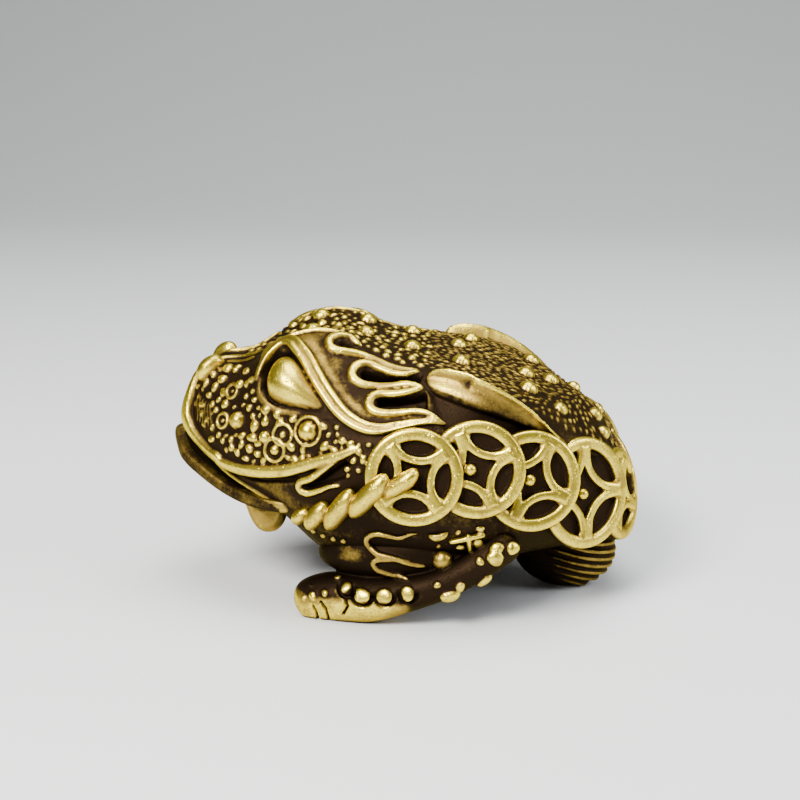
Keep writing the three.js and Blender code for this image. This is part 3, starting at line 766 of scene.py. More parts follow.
CHEEK = [(-45.4, 43.6), (-43.6, 45.4), (-41, 47.6), (-38, 49), (-32, 49.4), (-29.6, 47), (-27.8, 43.4),
         (-24, 42), (-17, 41.6), (-12, 41.6), (-8.6, 39.4), (-3.6, 38.6), (-3.4, 35), (-7, 31.4), (-9.6, 30.6),
         (-8.6, 35), (-11, 36.4), (-16, 34.4), (-22, 32.4), (-30, 31.2), (-37, 32), (-41, 34.4), (-44, 37.6),
         (-45.6, 40.6)]
HEAD_TOP = [(-11.4, -29), (-4, -36), (4, -36), (11.4, -29), (12, -22), (12, -12), (14.8, -5), (18.6, 1.6),
            (19.4, 5.4), (-19.4, 5.4), (-18.6, 1.6), (-14.8, -5), (-12, -12), (-12, -22)]
BACK = [(-18.6, 5), (18.6, 5), (20.8, 12), (22, 20), (22, 28), (20, 34), (12.4, 41.6), (3, 45.4), (-3, 45.4),
        (-12.4, 41.6), (-20, 34), (-22, 28), (-22, 20), (-20.8, 12)]


def lay_brow(clay, skin, sizes):
    add_line(clay, skin, LID, band_profile(sizes.lid_width / PART, 1.2, 2.4, 0.32),
             girth=[0.35, 0.5, 0.95, 1.05, 1.1, 1.1, 1.08, 1.05, 0.95, 0.85, 0.7, 0.5, 0.35], ends=2.4)
    rim = ridge_profile(sizes.rim_width / PART, 1.05, 2.6)
    add_line(clay, skin, FLAME_RIM, rim, girth=[0.7, 1.1, 1.2, 1.15, 1.1, 1.05, 0.9, 0.6], ends=1.6)
    add_line(clay, skin, FLAME_RIM_2, rim, girth=[0.6, 0.95, 1.1, 1.25, 1.15, 1, 1, 0.6], ends=1.6)
    add_line(clay, skin, FLAME_RIM_3, rim, girth=[0.6, 1, 1.15, 1.25, 1.1, 0.95, 0.75, 0.4], ends=1.6)
    add_line(clay, skin, PLATE_TOP, ridge_profile(0.95, 0.95, 1), girth=[0.7, 1, 1, 1, 0.9, 0.6], ends=2)
    add_line(clay, skin, LOWER_LID, ridge_profile(1.6, 0.3, 1.2), girth=[0.7, 1, 1, 0.9, 0.7, 0.5], ends=2)


def lay_side_of_mouth(clay, skin):
    add_line(clay, skin, LIP_HOOK, ridge_profile(1.35, 0.95, 1.6), girth=[0.5, 0.8, 1.1, 1.2, 1.1, 0.8, 0.5],
             ends=1.6)
    add_line(clay, skin, JAW_RIDGE, ridge_profile(1.25, 0.9, 1.4), girth=[0.7, 0.9, 1, 1, 1, 0.9, 0.6], ends=2)


def lay_lip(clay, skin, sizes):
    """The upper lip, from one corner of the mouth over its arched front to the other."""
    left = LIP_FRONT + LIP_SIDE[2:]
    lip = [(-x, y, z) for x, y, z in left[::-1]] + [(0, -45, 46)] + left
    half = [0.5, 0.85, 0.95, 1, 1, 0.95, 1, 1.2, 1.3, 1.15]
    add_line(clay, skin, lip, ridge_profile(sizes.lip_width / PART, 1.2, 1.8), girth=half + [0.9] + half[::-1],
             ends=2.6, lift=0.1)


def lay_nose(clay, skin):
    add_line(clay, skin, NOSTRIL, ridge_profile(2.9, 2.3, 1), ends=1.6)
    add_line(clay, skin, NOSE_TOP, ridge_profile(1.1, 1.0, 1), girth=[0.8, 1, 1, 0.9, 0.7], ends=2)
    add_line(clay, skin, NOSE_LOW, ridge_profile(0.9, 0.6, 1), ends=1.6)
    for wave in range(6):
        y = -44.4 + 0.75 * wave
        path = [(y + 0.5, 42.6 - 0.3 * wave), (y, 40.4), (y + 0.5, 38.2 - 0.2 * wave), (y + 0.2, 36.4)]
        add_line(clay, skin, side_line(skin, path), ridge_profile(0.55, 0.34, 0.6), ends=1)


def lay_cheek(clay, skin, rng):
    for y, z, radius in CHEEK_WARTS:
        add_wart(clay, *skin.on_side(y, z), radius, 0.95, 9)
    for y, z, radius in CHEEK_PEARLS:
        add_pebble(clay, *skin.on_side(y, z), radius * 1.18, rng, 0.85, 1 + 0.3 * rng.random())
    for y, z, radius, dot in CHEEK_RINGS:
        place, out = skin.on_side(y, z)
        add_ring(clay, place, out, radius, 1.0, 0.75)
        if dot:
            add_pearl(clay, place, out, dot, 0.9)
    avoid = ([(y, z, r) for y, z, r in CHEEK_WARTS] + [(y, z, r) for y, z, r in CHEEK_PEARLS]
             + [(y, z, r + 0.4) for y, z, r, _ in CHEEK_RINGS])
    for y, z in scatter(rng, CHEEK, 1.36, avoid, 1800):
        radius = 0.48 + 0.36 * rng.random()
        add_pebble(clay, *skin.on_side(y, z), radius, rng, 0.9, 1 + 0.6 * rng.random())


def lay_back(clay, skin, rng):
    for x, y, radius in BACK_WARTS:
        add_wart(clay, *skin.on_top(x, y), radius, 0.9, 8, rng.random())
    avoid = [(x, y, r + 0.1) for x, y, r in BACK_WARTS]
    for x, y in scatter(rng, HEAD_TOP, 1.6, avoid, 1700):
        add_pebble(clay, *skin.on_top(x, y), 0.45 + 0.45 * rng.random(), rng, 0.8, 1 + 0.5 * rng.random())
    for x, y in scatter(rng, BACK, 1.25, avoid, 5200):
        lean = 1.57 - 0.35 * x / 20 + 0.35 * (rng.random() - 0.5)
        add_pearl(clay, *skin.on_top(x, y), 0.36 + 0.16 * rng.random(), 0.95, 1.7 + 0.9 * rng.random(), lean)


THIGH_WIDTH = 3.7
THIGH_FOLD = [(0.6, 0), (0.56, 0.45), (0.5, 0.7), (0.42, 0.76), (0.34, 0.7), (0.29, 0.52), (0.2, 0.34), (0, 0.2),
              (-0.24, 0.12), (-0.46, 0), (-0.56, -0.2), (-0.56, -0.6), (0.6, -0.6)]


def lay_thigh(clay, skin):
    """The leaf-shaped fold over the thigh, with a rounded bead along its upper rim."""
    add_line(clay, skin, THIGH_CREST, THIGH_WIDTH * np.array(THIGH_FOLD),
             girth=[0.75, 1.1, 1.2, 1.12, 0.98, 0.78, 0.6, 0.48, 0.4, 0.34], ends=2)


def hide_relief(points, tree):
    """Relief of the hide: the carving, less of it on the thigh, where shade is painted across the fold's face, and on
    the eye, and the smooth patch by the lid.
    """
    relief = smoothstep(0.1, 0.55, over_skin(points, tree))
    seen = points[:, 1:]
    beside = np.abs(points[:, 0]) > 9
    # Painted shade: the face under the thigh fold's rim darkens towards the rump.
    thigh_shade = smoothstep(0.5, -0.9, to_polygon(seen, THIGH_FACE)) * (0.05 + 0.9 * smoothstep(9, 20, points[:, 1]))
    relief *= 1 - thigh_shade * beside
    lid = np.array(LID, float)[:, 1:]
    patch = smoothstep(3.9, 2.2, to_line(seen, lid)) * smoothstep(0.3, -0.5, to_polygon(seen, PLATE)) * beside
    eye = smoothstep(0, -0.6, to_polygon(seen, EYE_LINE)) * beside
    return np.maximum(relief * (1 - 0.25 * eye), 0.72 * patch)


class TOAD_OT_hide(bpy.types.Operator):
    """Carves the head and body: eyes, flame brows, lips, warts and grained back"""

    bl_idname = "toad.hide"
    bl_label = "Head and Body"

    def execute(self, context):
        sizes = context.scene.toad_sizes
        skin = skin_of_hide()
        rng = np.random.default_rng(7)
        left = Clay()
        lay_brow(left, skin, sizes)
        lay_nose(left, skin)
        lay_cheek(left, skin, rng)
        lay_side_of_mouth(left, skin)
        lay_thigh(left, skin)
        left.both_sides()
        lay_lip(left, skin, sizes)
        lay_back(left, skin, rng)
        hide = mesh_object("toad_hide", *hide_form(*HIDE_FORM))
        points = points_of(hide)
        set_points(hide, points + normals_of(hide) * carve_depths(points)[:, None])
        hide = joined("toad_hide", [hide, left.to_object("carving")])
        fuse(hide, sizes.skin_grain / PART)
        thin(hide, HIDE_LIMIT)
        store(hide, "relief", hide_relief(points_of(hide), skin.tree))
        finish_piece(hide)
        return {"FINISHED"}


# The jaw, the legs and the tail.
ARM = ((23.3, 2, 14.2), (8, 18.4, 6.6), 0.06)
TAIL = ((0, 34, 7.9), (8.8, 11, 8.4), -0.04)
FOREARM = [(23.6, -21, 1.6, 0.6), (24.2, -18.6, 2.6, 0.82), (25.6, -13.5, 4, 0.97), (27.6, -5, 4.8, 0.95),
           (29.4, 2, 6.6, 0.76), (30.4, 9, 9, 0.62), (30, 16, 12.8, 0.62), (28, 24.5, 18.8, 0.66)]
FOREARM_HALF = (5.25, 5.6)
CHIN = [(-17.6, -29.6, 19), (-9, -31.2, 18), (0, -32, 17.6), (9, -31.2, 18), (17.6, -29.6, 19)]
CHIN_SECTION = [(-3.4, 4.2), (-2.7, 0.4), (-1.4, -2.6), (0.3, -4.3), (3, -4.4), (4.9, -2.8), (6, 0.6), (6.4, 4.2)]
JAW_STRIP = [(3, -48.6, 33), (6.3, -48.1, 32.4), (11, -44.8, 30.4), (14.1, -42, 28.2), (16.9, -38.6, 26.2),
             (19.1, -35.2, 24.4)]
HOOK_A = [(5.4, 20.6), (3.7, 20.3), (1.4, 19.3), (-0.8, 19.6), (-2.9, 19.9), (-4.6, 19.4), (-5.4, 18.1), (-4.8, 16.5),
          (-3.2, 15.3), (-1.1, 14.9), (1.3, 14.4), (4, 13.6), (6.9, 13.2)]
HOOK_B = [(4, 14.1), (1.8, 14.4), (-0.9, 14.4), (-3.1, 14.2), (-4, 13.5), (-3.4, 12.3), (-2.4, 11.8), (0.5, 11),
          (3.4, 10.3)]
CRESCENT = [(7, 20.4), (8.4, 19.9), (10, 20.2), (11.3, 21.2)]
ARM_WART = (9.9, 14.5, 2.05)
ARM_PEARLS = [(9.2, 17.7, 0.6), (13.5, 17.5, 0.85), (17, 18.4, 1), (13.1, 20.9, 0.6), (17.5, 21.6, 0.8),
              (20.6, 15.9, 1.5), (20.8, 17.8, 1.35), (24, 17.8, 1.3), (17.6, 15.2, 0.9), (18.4, 11, 1.5),
              (13.7, 10, 1.1)]
T_MARK = [[(11.1, 18.9), (13, 19.3), (16, 20), (18.6, 20.5)], [(15, 20.9), (15.2, 19), (15.4, 16.6)]]
FOOT_SCALES = [(-9.6, 7.9, 1.25), (-6.2, 6.9, 1.7), (-1.6, 7.2, 1.7), (3.2, 8.1, 1.5)]
FOOT_PEARLS = [(-16.6, 5.4, 0.9), (-14, 6.4, 0.8), (9.2, 10.2, 0.8), (11.7, 7.9, 1.8), (-18.6, 4.6, 0.55),
               (-17.4, 7, 0.4), (-11.6, 9, 0.7)]
TOE_CUTS = [[(-16.6, 3.4), (-16, 2), (-15.7, -0.7)], [(-14.9, 4.6), (-13.9, 3.4), (-13.5, 0.5)],
            [(-9.6, 5.6), (-9.2, 4.4), (-10.2, 2.4)]]
ARM_BEADS = [(-16.7, 18.6), (-14.6, 17.9), (-12.4, 17.5), (-10.3, 17.3)]


def mass(middle, half, tilt=0.0, turn=0.0):
    points, faces = ball(72, 48)
    shape = points * half
    c, s = math.cos(turn), math.sin(turn)
    shape = shape @ np.array([[c, s, 0], [-s, c, 0], [0, 0, 1]])
    c, s = math.cos(tilt), math.sin(tilt)
    return shape @ np.array([[1, 0, 0], [0, c, s], [0, -s, c]]) + middle, faces


def oval(half_across, half_up):
    c, s = round_steps(28)
    return np.stack([half_across * c, half_up * s], 1)


def limb(spots, section, out, ends):
    """A rounded limb of one section through spots that each may give a girth."""
    clay = Clay()
    line = dense(spots, 0.5)
    girth = line[:, 3] if line.shape[1] > 3 else None
    sweep(clay, line[:, :3], np.tile(np.array(out, float), (len(line), 1)), section, girth, ends)
    return clay.merged()


JAW_ROWS = 80
JAW_ROUND = 64


def jaw():
    """A shallow scoop that juts out past the upper lip, its floor a little hollow."""
    along = np.linspace(-50, -16, JAW_ROWS)
    half, height = guide(JAW_RIM)(along)
    side, up = round_steps(JAW_ROUND)
    lift = np.where(up > 0, 1.2 * up - 1.1 * np.clip(up, 0, 1) ** 2, 2.4 * up)
    rings = np.stack([half[:, None] * side, np.repeat(along[:, None], JAW_ROUND, 1), height[:, None] + lift], 2)
    points = np.vstack([rings.reshape(-1, 3), rings[0].mean(0), rings[-1].mean(0)])
    return points, tube_faces(JAW_ROWS, JAW_ROUND)


def jaw_rim_line():
    along = np.linspace(-21, -50, 26)
    half, height = guide(JAW_RIM)(along)
    left = np.stack([half, along, height], 1)
    return [tuple(p) for p in np.vstack([left, [[0, -50.6, 31.8]], left[::-1] * [-1, 1, 1]])]


def limb_forms():
    """The smooth limbs of the left side and the middle."""
    left, middle = Clay(), Clay()
    left.add(*mass(*ARM))
    left.add(*limb(FOREARM, oval(*FOREARM_HALF), (1, 0, 0), 3))
    middle.add(*mass(*TAIL))
    knots = np.array([[(y, z, 0) for y, z in CHIN_SECTION]], float)
    middle.add(*limb(CHIN, closed_rings(knots, 4)[0, :, :2], (0, 0, 1), 2))
    middle.add(*jaw())
    return left, middle


def limb_relief(points, body):
    """Relief of the limbs: the carving, dimmed as painted shade on the tail and above the foot, and the polished chin
    and edge of the soles.
    """
    height = over_skin(points, body)
    x, y, z = np.abs(points[:, 0]), points[:, 1], points[:, 2]
    # Painted shade: the carving is dimmed on the tail leg, and above the foot from the arm forwards.
    tail = smoothstep(20, 23, y) * smoothstep(17, 15, z)
    shaded = smoothstep(9.6, 11.4, z) * smoothstep(12.6, 11, y)
    carved = smoothstep(0.1, 0.5, height) * (1 - 0.5 * tail) * (1 - 0.3 * shaded)
    carved += 0.75 * smoothstep(0.3, 0.8, height) * (1 - tail) * (1 - shaded)
    sole = 1.2 * smoothstep(6.2, 4.6, z) * smoothstep(0.1, 0.9, z) * smoothstep(18, 21, x) * smoothstep(5, 1, y)
    spot = 0.5 * smoothstep(3.2, 0.2, np.hypot((y + 8.4) / 1.5, z - 14.8)) * smoothstep(14, 18, x)
    chin = 0.65 * smoothstep(21.5, 20, z) * smoothstep(13, 14, z) * smoothstep(-24, -26, y)
    return np.maximum(np.maximum(carved, spot), np.maximum(sole, chin))


def lay_arm(clay, skin, rng):
    for hook in (HOOK_A, HOOK_B):
        add_line(clay, skin, side_line(skin, hook), ridge_profile(1.15, 0.8, 1.2),
                 girth=[0.5, 0.8, 1, 1.1, 1.1, 1, 0.7], ends=1.6)
    add_line(clay, skin, side_line(skin, CRESCENT), ridge_profile(1.6, 0.9, 1), girth=[0.6, 1.1, 1, 0.5], ends=1.4)
    for path in T_MARK:
        add_line(clay, skin, side_line(skin, path), ridge_profile(1.0, 0.8, 0.8), ends=1, lift=0.3)
    add_wart(clay, *skin.on_side(*ARM_WART[:2]), ARM_WART[2], 0.95, 9)
    for y, z, radius in ARM_PEARLS + FOOT_PEARLS:
        add_pebble(clay, *skin.on_side(y, z), radius, rng, 0.7, 1 + 0.3 * rng.random())
    for y, z, radius in FOOT_SCALES:
        add_pebble(clay, *skin.on_side(y, z), radius, rng, 0.4)
    for y, z in ARM_BEADS:
        add_pearl(clay, *skin.on_side(y, z), 0.75, 0.8)


def cut_toes(points, normals):
    """Grooves that part the toes at the side of the foot."""
    seen = points[:, 1:]
    depth = np.zeros(len(points))
    for cut in TOE_CUTS:
        depth += 0.75 * smoothstep(0.42, 0.1, to_line(seen, cut))
    for y, z, radius in FOOT_SCALES:
        away = np.linalg.norm(seen - [y, z], axis=1)
        depth += 0.9 * smoothstep(0.55, 0.15, np.abs(away - radius - 0.4)) * smoothstep(0.9, -0.5, seen[:, 1] - z)
    outside = (np.abs(points[:, 0]) > 20) & (points[:, 2] < 10)
    return points - normals * (depth * outside)[:, None]


def lay_tail(clay, skin):
    for k, height in enumerate((13.6, 12, 10.4, 8.8, 7.2, 5.6, 4, 2.4)):
        reach = 2.3 - 0.06 * k
        path = []
        for turn in np.linspace(-reach, reach, 15):
            side, back = math.sin(turn), math.cos(turn)
            z = height - 2.4 * back + 0.6 * abs(side)
            path.append(skin.seen((40 * side, 34 + 40 * back, max(z, 0.5)), (-side, -back, 0))[0])
        add_line(clay, skin, path, ridge_profile(0.95, 0.55, 1), girth=[0.5, 1, 1, 1, 0.5], ends=3)


def lay_jaw_strip(clay, skin, rng):
    """Rough grains on the shelf between the jaw's rim and the lower lip."""
    line = dense(JAW_STRIP, 0.75)
    for side in (1, -1):
        spots = np.repeat(line, 2, axis=0) * [side, 1, 1] + (rng.random((2 * len(line), 3)) - 0.5) * 1.7
        for place, out in zip(*skin.hug(spots)):
            add_pearl(clay, place, out, 0.26 + 0.2 * rng.random(), 0.9, 1 + 0.8 * rng.random(), rng.random() * 3)


class TOAD_OT_limbs(bpy.types.Operator):
    """Builds the jaw, chin, front legs with hooks and scales, and the striated tail leg"""

    bl_idname = "toad.limbs"
    bl_label = "Jaw, Legs and Tail"

    def execute(self, context):
        sizes = context.scene.toad_sizes
        rng = np.random.default_rng(11)
        left, middle = limb_forms()
        body = Clay()
        body.add(*hide_form(*SKIN_FORM))
        body.add(*left.merged())
        bare = Clay()
        bare.add(*body.merged())
        bare.add(*middle.merged())
        bare.both_sides()
        lay_arm(left, Skin(body.tree()), rng)
        left.both_sides()
        lay_tail(middle, Skin(middle.tree()))
        lay_jaw_strip(middle, Skin(middle.tree()), rng)
        rim = dense(jaw_rim_line(), 0.5)
        outwards = unit(rim * [1, 0, 0] / 20 + [0, -0.6, 0])
        sweep(middle, rim, outwards, ridge_profile(2.6, 1.0, 1.3), None, 3)
        limbs = joined("toad_limbs", [left.to_object("left"), middle.to_object("middle")])
        set_points(limbs, above_floor(points_of(limbs)))
        fuse(limbs, sizes.skin_grain / PART)
        set_points(limbs, above_floor(cut_toes(points_of(limbs), normals_of(limbs))))
        thin(limbs, LIMBS_LIMIT)
        store(limbs, "relief", limb_relief(points_of(limbs), bare.tree()))
        finish_piece(limbs)
        return {"FINISHED"}


# The coins and the rope.
def ring_profile(radius, width):
    turn = np.linspace(0, math.pi, 11)
    c, s = np.cos(turn), np.sin(turn)
    top = np.stack([radius - width / 2 + width / 2 * np.sign(c) * np.abs(c) ** 0.8, -0.9 + 0.9 * s ** 0.7], 1)
    return np.vstack([top, [[radius - width * 1.05, -2.4], [radius, -2.4]]])


def under_coin(points, basis, middle, radius):
    """Presses what lies behind a coin down under its floor."""
    local = (points - middle) @ basis.T
    inside = np.linalg.norm(local[:, :2], axis=1) < radius * 0.94
    local[:, 2] = np.where(inside, np.minimum(local[:, 2], -COIN_POCKET - 0.5), local[:, 2])
    return local @ basis + middle


RING_STEPS = 96
FLOOR_STEPS = 64
BAR_STEPS = 40
STRAND_STEPS = 25


def add_coin(clay, coin, sizes, before):
    """Adds an openwork coin. The coins before it lie over its edge."""
    (middle, turn, twist, size) = coin
    out = unit(np.array([math.cos(turn), math.sin(turn), COIN_LEAN]))
    back = np.array([-math.sin(turn), math.cos(turn), 0])
    up = np.cross(out, back)
    c, s = math.cos(twist), math.sin(twist)
    basis = np.stack([c * back + s * up, -s * back + c * up, out])
    radius = sizes.coin_radius / PART * size
    width = sizes.coin_ring / PART
    bar = sizes.coin_bar / PART
    parts = Clay()
    profile = ring_profile(radius, width)
    c, s = round_steps(RING_STEPS)
    rings = np.stack([profile[None, :, 0] * c[:, None], profile[None, :, 0] * s[:, None],
                      np.repeat(profile[None, :, 1], RING_STEPS, 0)], 2)
    parts.add(rings.reshape(-1, 3), tube_faces(RING_STEPS, len(profile), closed=True)[:, ::-1])
    inner = radius - width
    bow = COIN_BOW * radius - bar / 2
    reach = inner + BAR_END
    t = np.linspace(0, 1, BAR_STEPS)[:, None]
    outwards = np.tile([0.0, 0.0, 1.0], (BAR_STEPS, 1))
    swell = np.interp(t[:, 0], [0, 0.12, 0.3, 0.7, 0.88, 1], [1.7, 1.4, 1, 1, 1.4, 1.7])
    for quarter in range(4):
        angle = quarter * math.pi / 2
        ends = [reach * np.array([math.cos(angle + d), math.sin(angle + d)])
                for d in (-BAR_HALF_TURN, BAR_HALF_TURN)]
        pull = (2 * bow - reach * math.cos(BAR_HALF_TURN)) * np.array([math.cos(angle), math.sin(angle)])
        line = ends[0] * (1 - t) ** 2 + 2 * t * (1 - t) * pull + ends[1] * t ** 2
        places = np.hstack([line, np.full((BAR_STEPS, 1), -0.75)])
        sweep(parts, places, outwards, ridge_profile(bar * 1.05, 0.6, 1.2), swell, 0.1)
        web, web_faces = ball(20, 12)
        corner = angle + math.pi / 4
        spot = [(inner - 0.3) * math.cos(corner), (inner - 0.3) * math.sin(corner), -0.8]
        parts.add(web * WEB + spot, web_faces)
    c, s = round_steps(FLOOR_STEPS)
    rims = (radius * 0.95, -COIN_POCKET), (radius * COIN_TAPER, -COIN_DEPTH)
    disc = [np.stack([r * c, r * s, np.full(FLOOR_STEPS, z)], 1) for r, z in rims]
    parts.add(np.vstack([*disc, [[0, 0, z] for _, z in rims]]), tube_faces(2, FLOOR_STEPS)[:, ::-1])
    points, faces = parts.merged()
    points = points @ basis + middle
    if before:
        points = under_coin(points, *before)
    clay.add(points, faces)
    return basis, np.array(middle), radius


# Coins and rope are rubbed more than the hide.
COIN_RELIEF = 1.35
ROPE_RELIEF = 1.2


def coin_relief(points, stances):
    """High on the rings and bars, 0 on the floors and outside."""
    relief, found = np.zeros(len(points)), np.zeros(len(points), bool)
    for basis, middle, radius in stances:
        local = (points - middle) @ basis.T
        here = ~found & (np.linalg.norm(local[:, :2], axis=1) < radius * 1.03) & (local[:, 2] > -COIN_POCKET - 0.3)
        relief[here] = COIN_RELIEF * smoothstep(0.25 - COIN_POCKET, -0.6, local[here, 2])
        found |= here
    return relief


class TOAD_OT_coins(bpy.types.Operator):
    """Strings five openwork coins along each flank, with knobs in their middles"""

    bl_idname = "toad.coins"
    bl_label = "Coins"

    def execute(self, context):
        sizes = context.scene.toad_sizes
        left = Clay()
        stances = []
        for number, coin in enumerate(COINS):
            stances.append(add_coin(left, coin, sizes, stances[-1] if stances else None))
            if number in KNOBS:
                along, up = KNOBS[number]
                out, back = stances[-1][0][2], np.array([-math.sin(coin[1]), math.cos(coin[1]), 0])
                spot = np.array(coin[0]) + back * along + np.cross(out, back) * up - out
                add_pearl(left, spot, out, KNOB_RADIUS, 1)
        left_coins = left.to_object("coins_left")
        fuse(left_coins, sizes.coin_grain / PART)
        thin(left_coins, COINS_LIMIT)
        store(left_coins, "relief", coin_relief(points_of(left_coins), stances))
        mirror_piece(left_coins, "coins_right")
        return {"FINISHED"}


def mirror_piece(left, name):
    """Makes the same piece for the other flank, and finishes both."""
    make_active(left)
    bpy.ops.object.duplicate(linked=False)
    right = take(name)
    set_points(right, points_of(right) * [-1, 1, 1])
    right.data.flip_normals()
    finish_piece(left)
    finish_piece(right)


class TOAD_OT_rope(bpy.types.Operator):
    """Lays the twisted strands of rope from the mouth to the first coin on each side"""

    bl_idname = "toad.rope"
    bl_label = "Rope"

    def execute(self, context):
        sizes = context.scene.toad_sizes
        left = Clay()
        t = np.linspace(-1, 1, STRAND_STEPS)[:, None]
        outwards = np.tile([1.0, 0, 0], (STRAND_STEPS, 1))
        for middle, way, half, girth in STRANDS:
            way = unit(np.array(way))
            across = unit(np.cross(way, [1.0, 0, 0]))
            line = middle + way * half * t + across * 0.25 * np.sin(math.pi * t) - [[0.5, 0, 0]] * t ** 2
            sweep(left, line, outwards, oval(girth * 1.06, girth * 1.2), None, half * 0.85)
        rope = left.to_object("rope_left")
        fuse(rope, sizes.coin_grain / PART)
        thin(rope, ROPE_LIMIT)
        store(rope, "relief", np.full(len(rope.data.vertices), ROPE_RELIEF))
        mirror_piece(rope, "rope_right")
        return {"FINISHED"}


# The patina, its painted shade, and the studio.
PIECES = ["toad_hide", "toad_limbs", "coins_left", "coins_right", "rope_left", "rope_right"]
MM = 0.001
# Rounds of averaging and height of small and of broad relief, rays and reach of the hollows' painted shade, depth
# under the outer shape that a palm still rubs and shade is painted, and the heights over the floor between which the
# rubbing and the painted light grow to full.
NEAR = (10, 0.10 * MM)
WIDE = (70, 0.42 * MM)
RAYS, QUICK_RAYS = 14, 6
SKY_REACH = 4.2 * MM
HELD_AND_SHADED_DEPTH = 4.2 * MM
RUB_AND_SHADE_FROM, RUB_AND_SHADE_TO = 6 * MM, 15 * MM


def spread(values, edges, count, times):
    """Averages values over the mesh, again and again."""
    a, b = edges[:, 0], edges[:, 1]
    number = np.bincount(a, minlength=count) + np.bincount(b, minlength=count)
    values = values.reshape(count, -1)
    for _ in range(times):
        total = np.stack([np.bincount(a, v[b], count) + np.bincount(b, v[a], count) for v in values.T], 1)
        values = 0.5 * values + 0.5 * total / np.maximum(number, 1)[:, None]
    return values


def proudness(points, normals, edges, times, reach):
    """How far each place stands out of its surroundings, 0.5 for level skin."""
    level = spread(points, edges, len(points), times)
    height = np.sum((points - level) * normals, 1)
    return np.clip(0.5 + height / (2 * reach), 0, 1)


def openness(points, normals, tree, rays):
    """How much of the sky each place sees, within a reach."""
    reach = SKY_REACH
    rng = np.random.default_rng(3)
    golden = math.pi * (3 - math.sqrt(5))
    k = np.arange(rays)
    height = np.sqrt(1 - (k + 0.5) / rays * 0.94)
    disc = np.stack([np.sqrt(1 - height ** 2) * np.cos(k * golden), np.sqrt(1 - height ** 2) * np.sin(k * golden)], 1)
    helper = np.where(np.abs(normals[:, 2:3]) < 0.9, [[0.0, 0, 1]], [[1.0, 0, 0]])
    side = unit(np.cross(normals, helper))
    other = np.cross(normals, side)
    spin = rng.random(len(points)) * 2 * math.pi
    side, other = (side * np.cos(spin)[:, None] + other * np.sin(spin)[:, None],
                   -side * np.sin(spin)[:, None] + other * np.cos(spin)[:, None])
    start = points + normals * 0.00006
    free = np.zeros(len(points))
    cast = tree.ray_cast
    for (u, v), h in zip(disc, height):
        way = side * u + other * v + normals * h
        hits = [cast(s, w, reach)[3] for s, w in zip(start.tolist(), way.tolist())]
        free += [1.0 if d is None else min(d / reach, 1.0) for d in hits]
    return free / rays


def hull_tree(points):
    """The tight outer shape that a palm touches."""
    hull = make_active(mesh_object("hull", points, np.empty((0, 3), int)))
    bpy.ops.object.mode_set(mode="EDIT")
    bpy.ops.mesh.select_all(action="SELECT")
    bpy.ops.mesh.convex_hull()
    bpy.ops.object.mode_set(mode="OBJECT")
    tree = tree_of(hull)
    bpy.data.objects.remove(hull)
    return tree


def add_socket(group, name, kind, inward=True):
    return group.interface.new_socket(name=name, in_out="INPUT" if inward else "OUTPUT", socket_type=kind)


# Near-black: dark patina and painted shade, for hollows, the skin under coins and rope, undersides and low parts.
DEEP_PATINA_AND_SHADE = (0.004, 0.0022, 0.0012, 1)


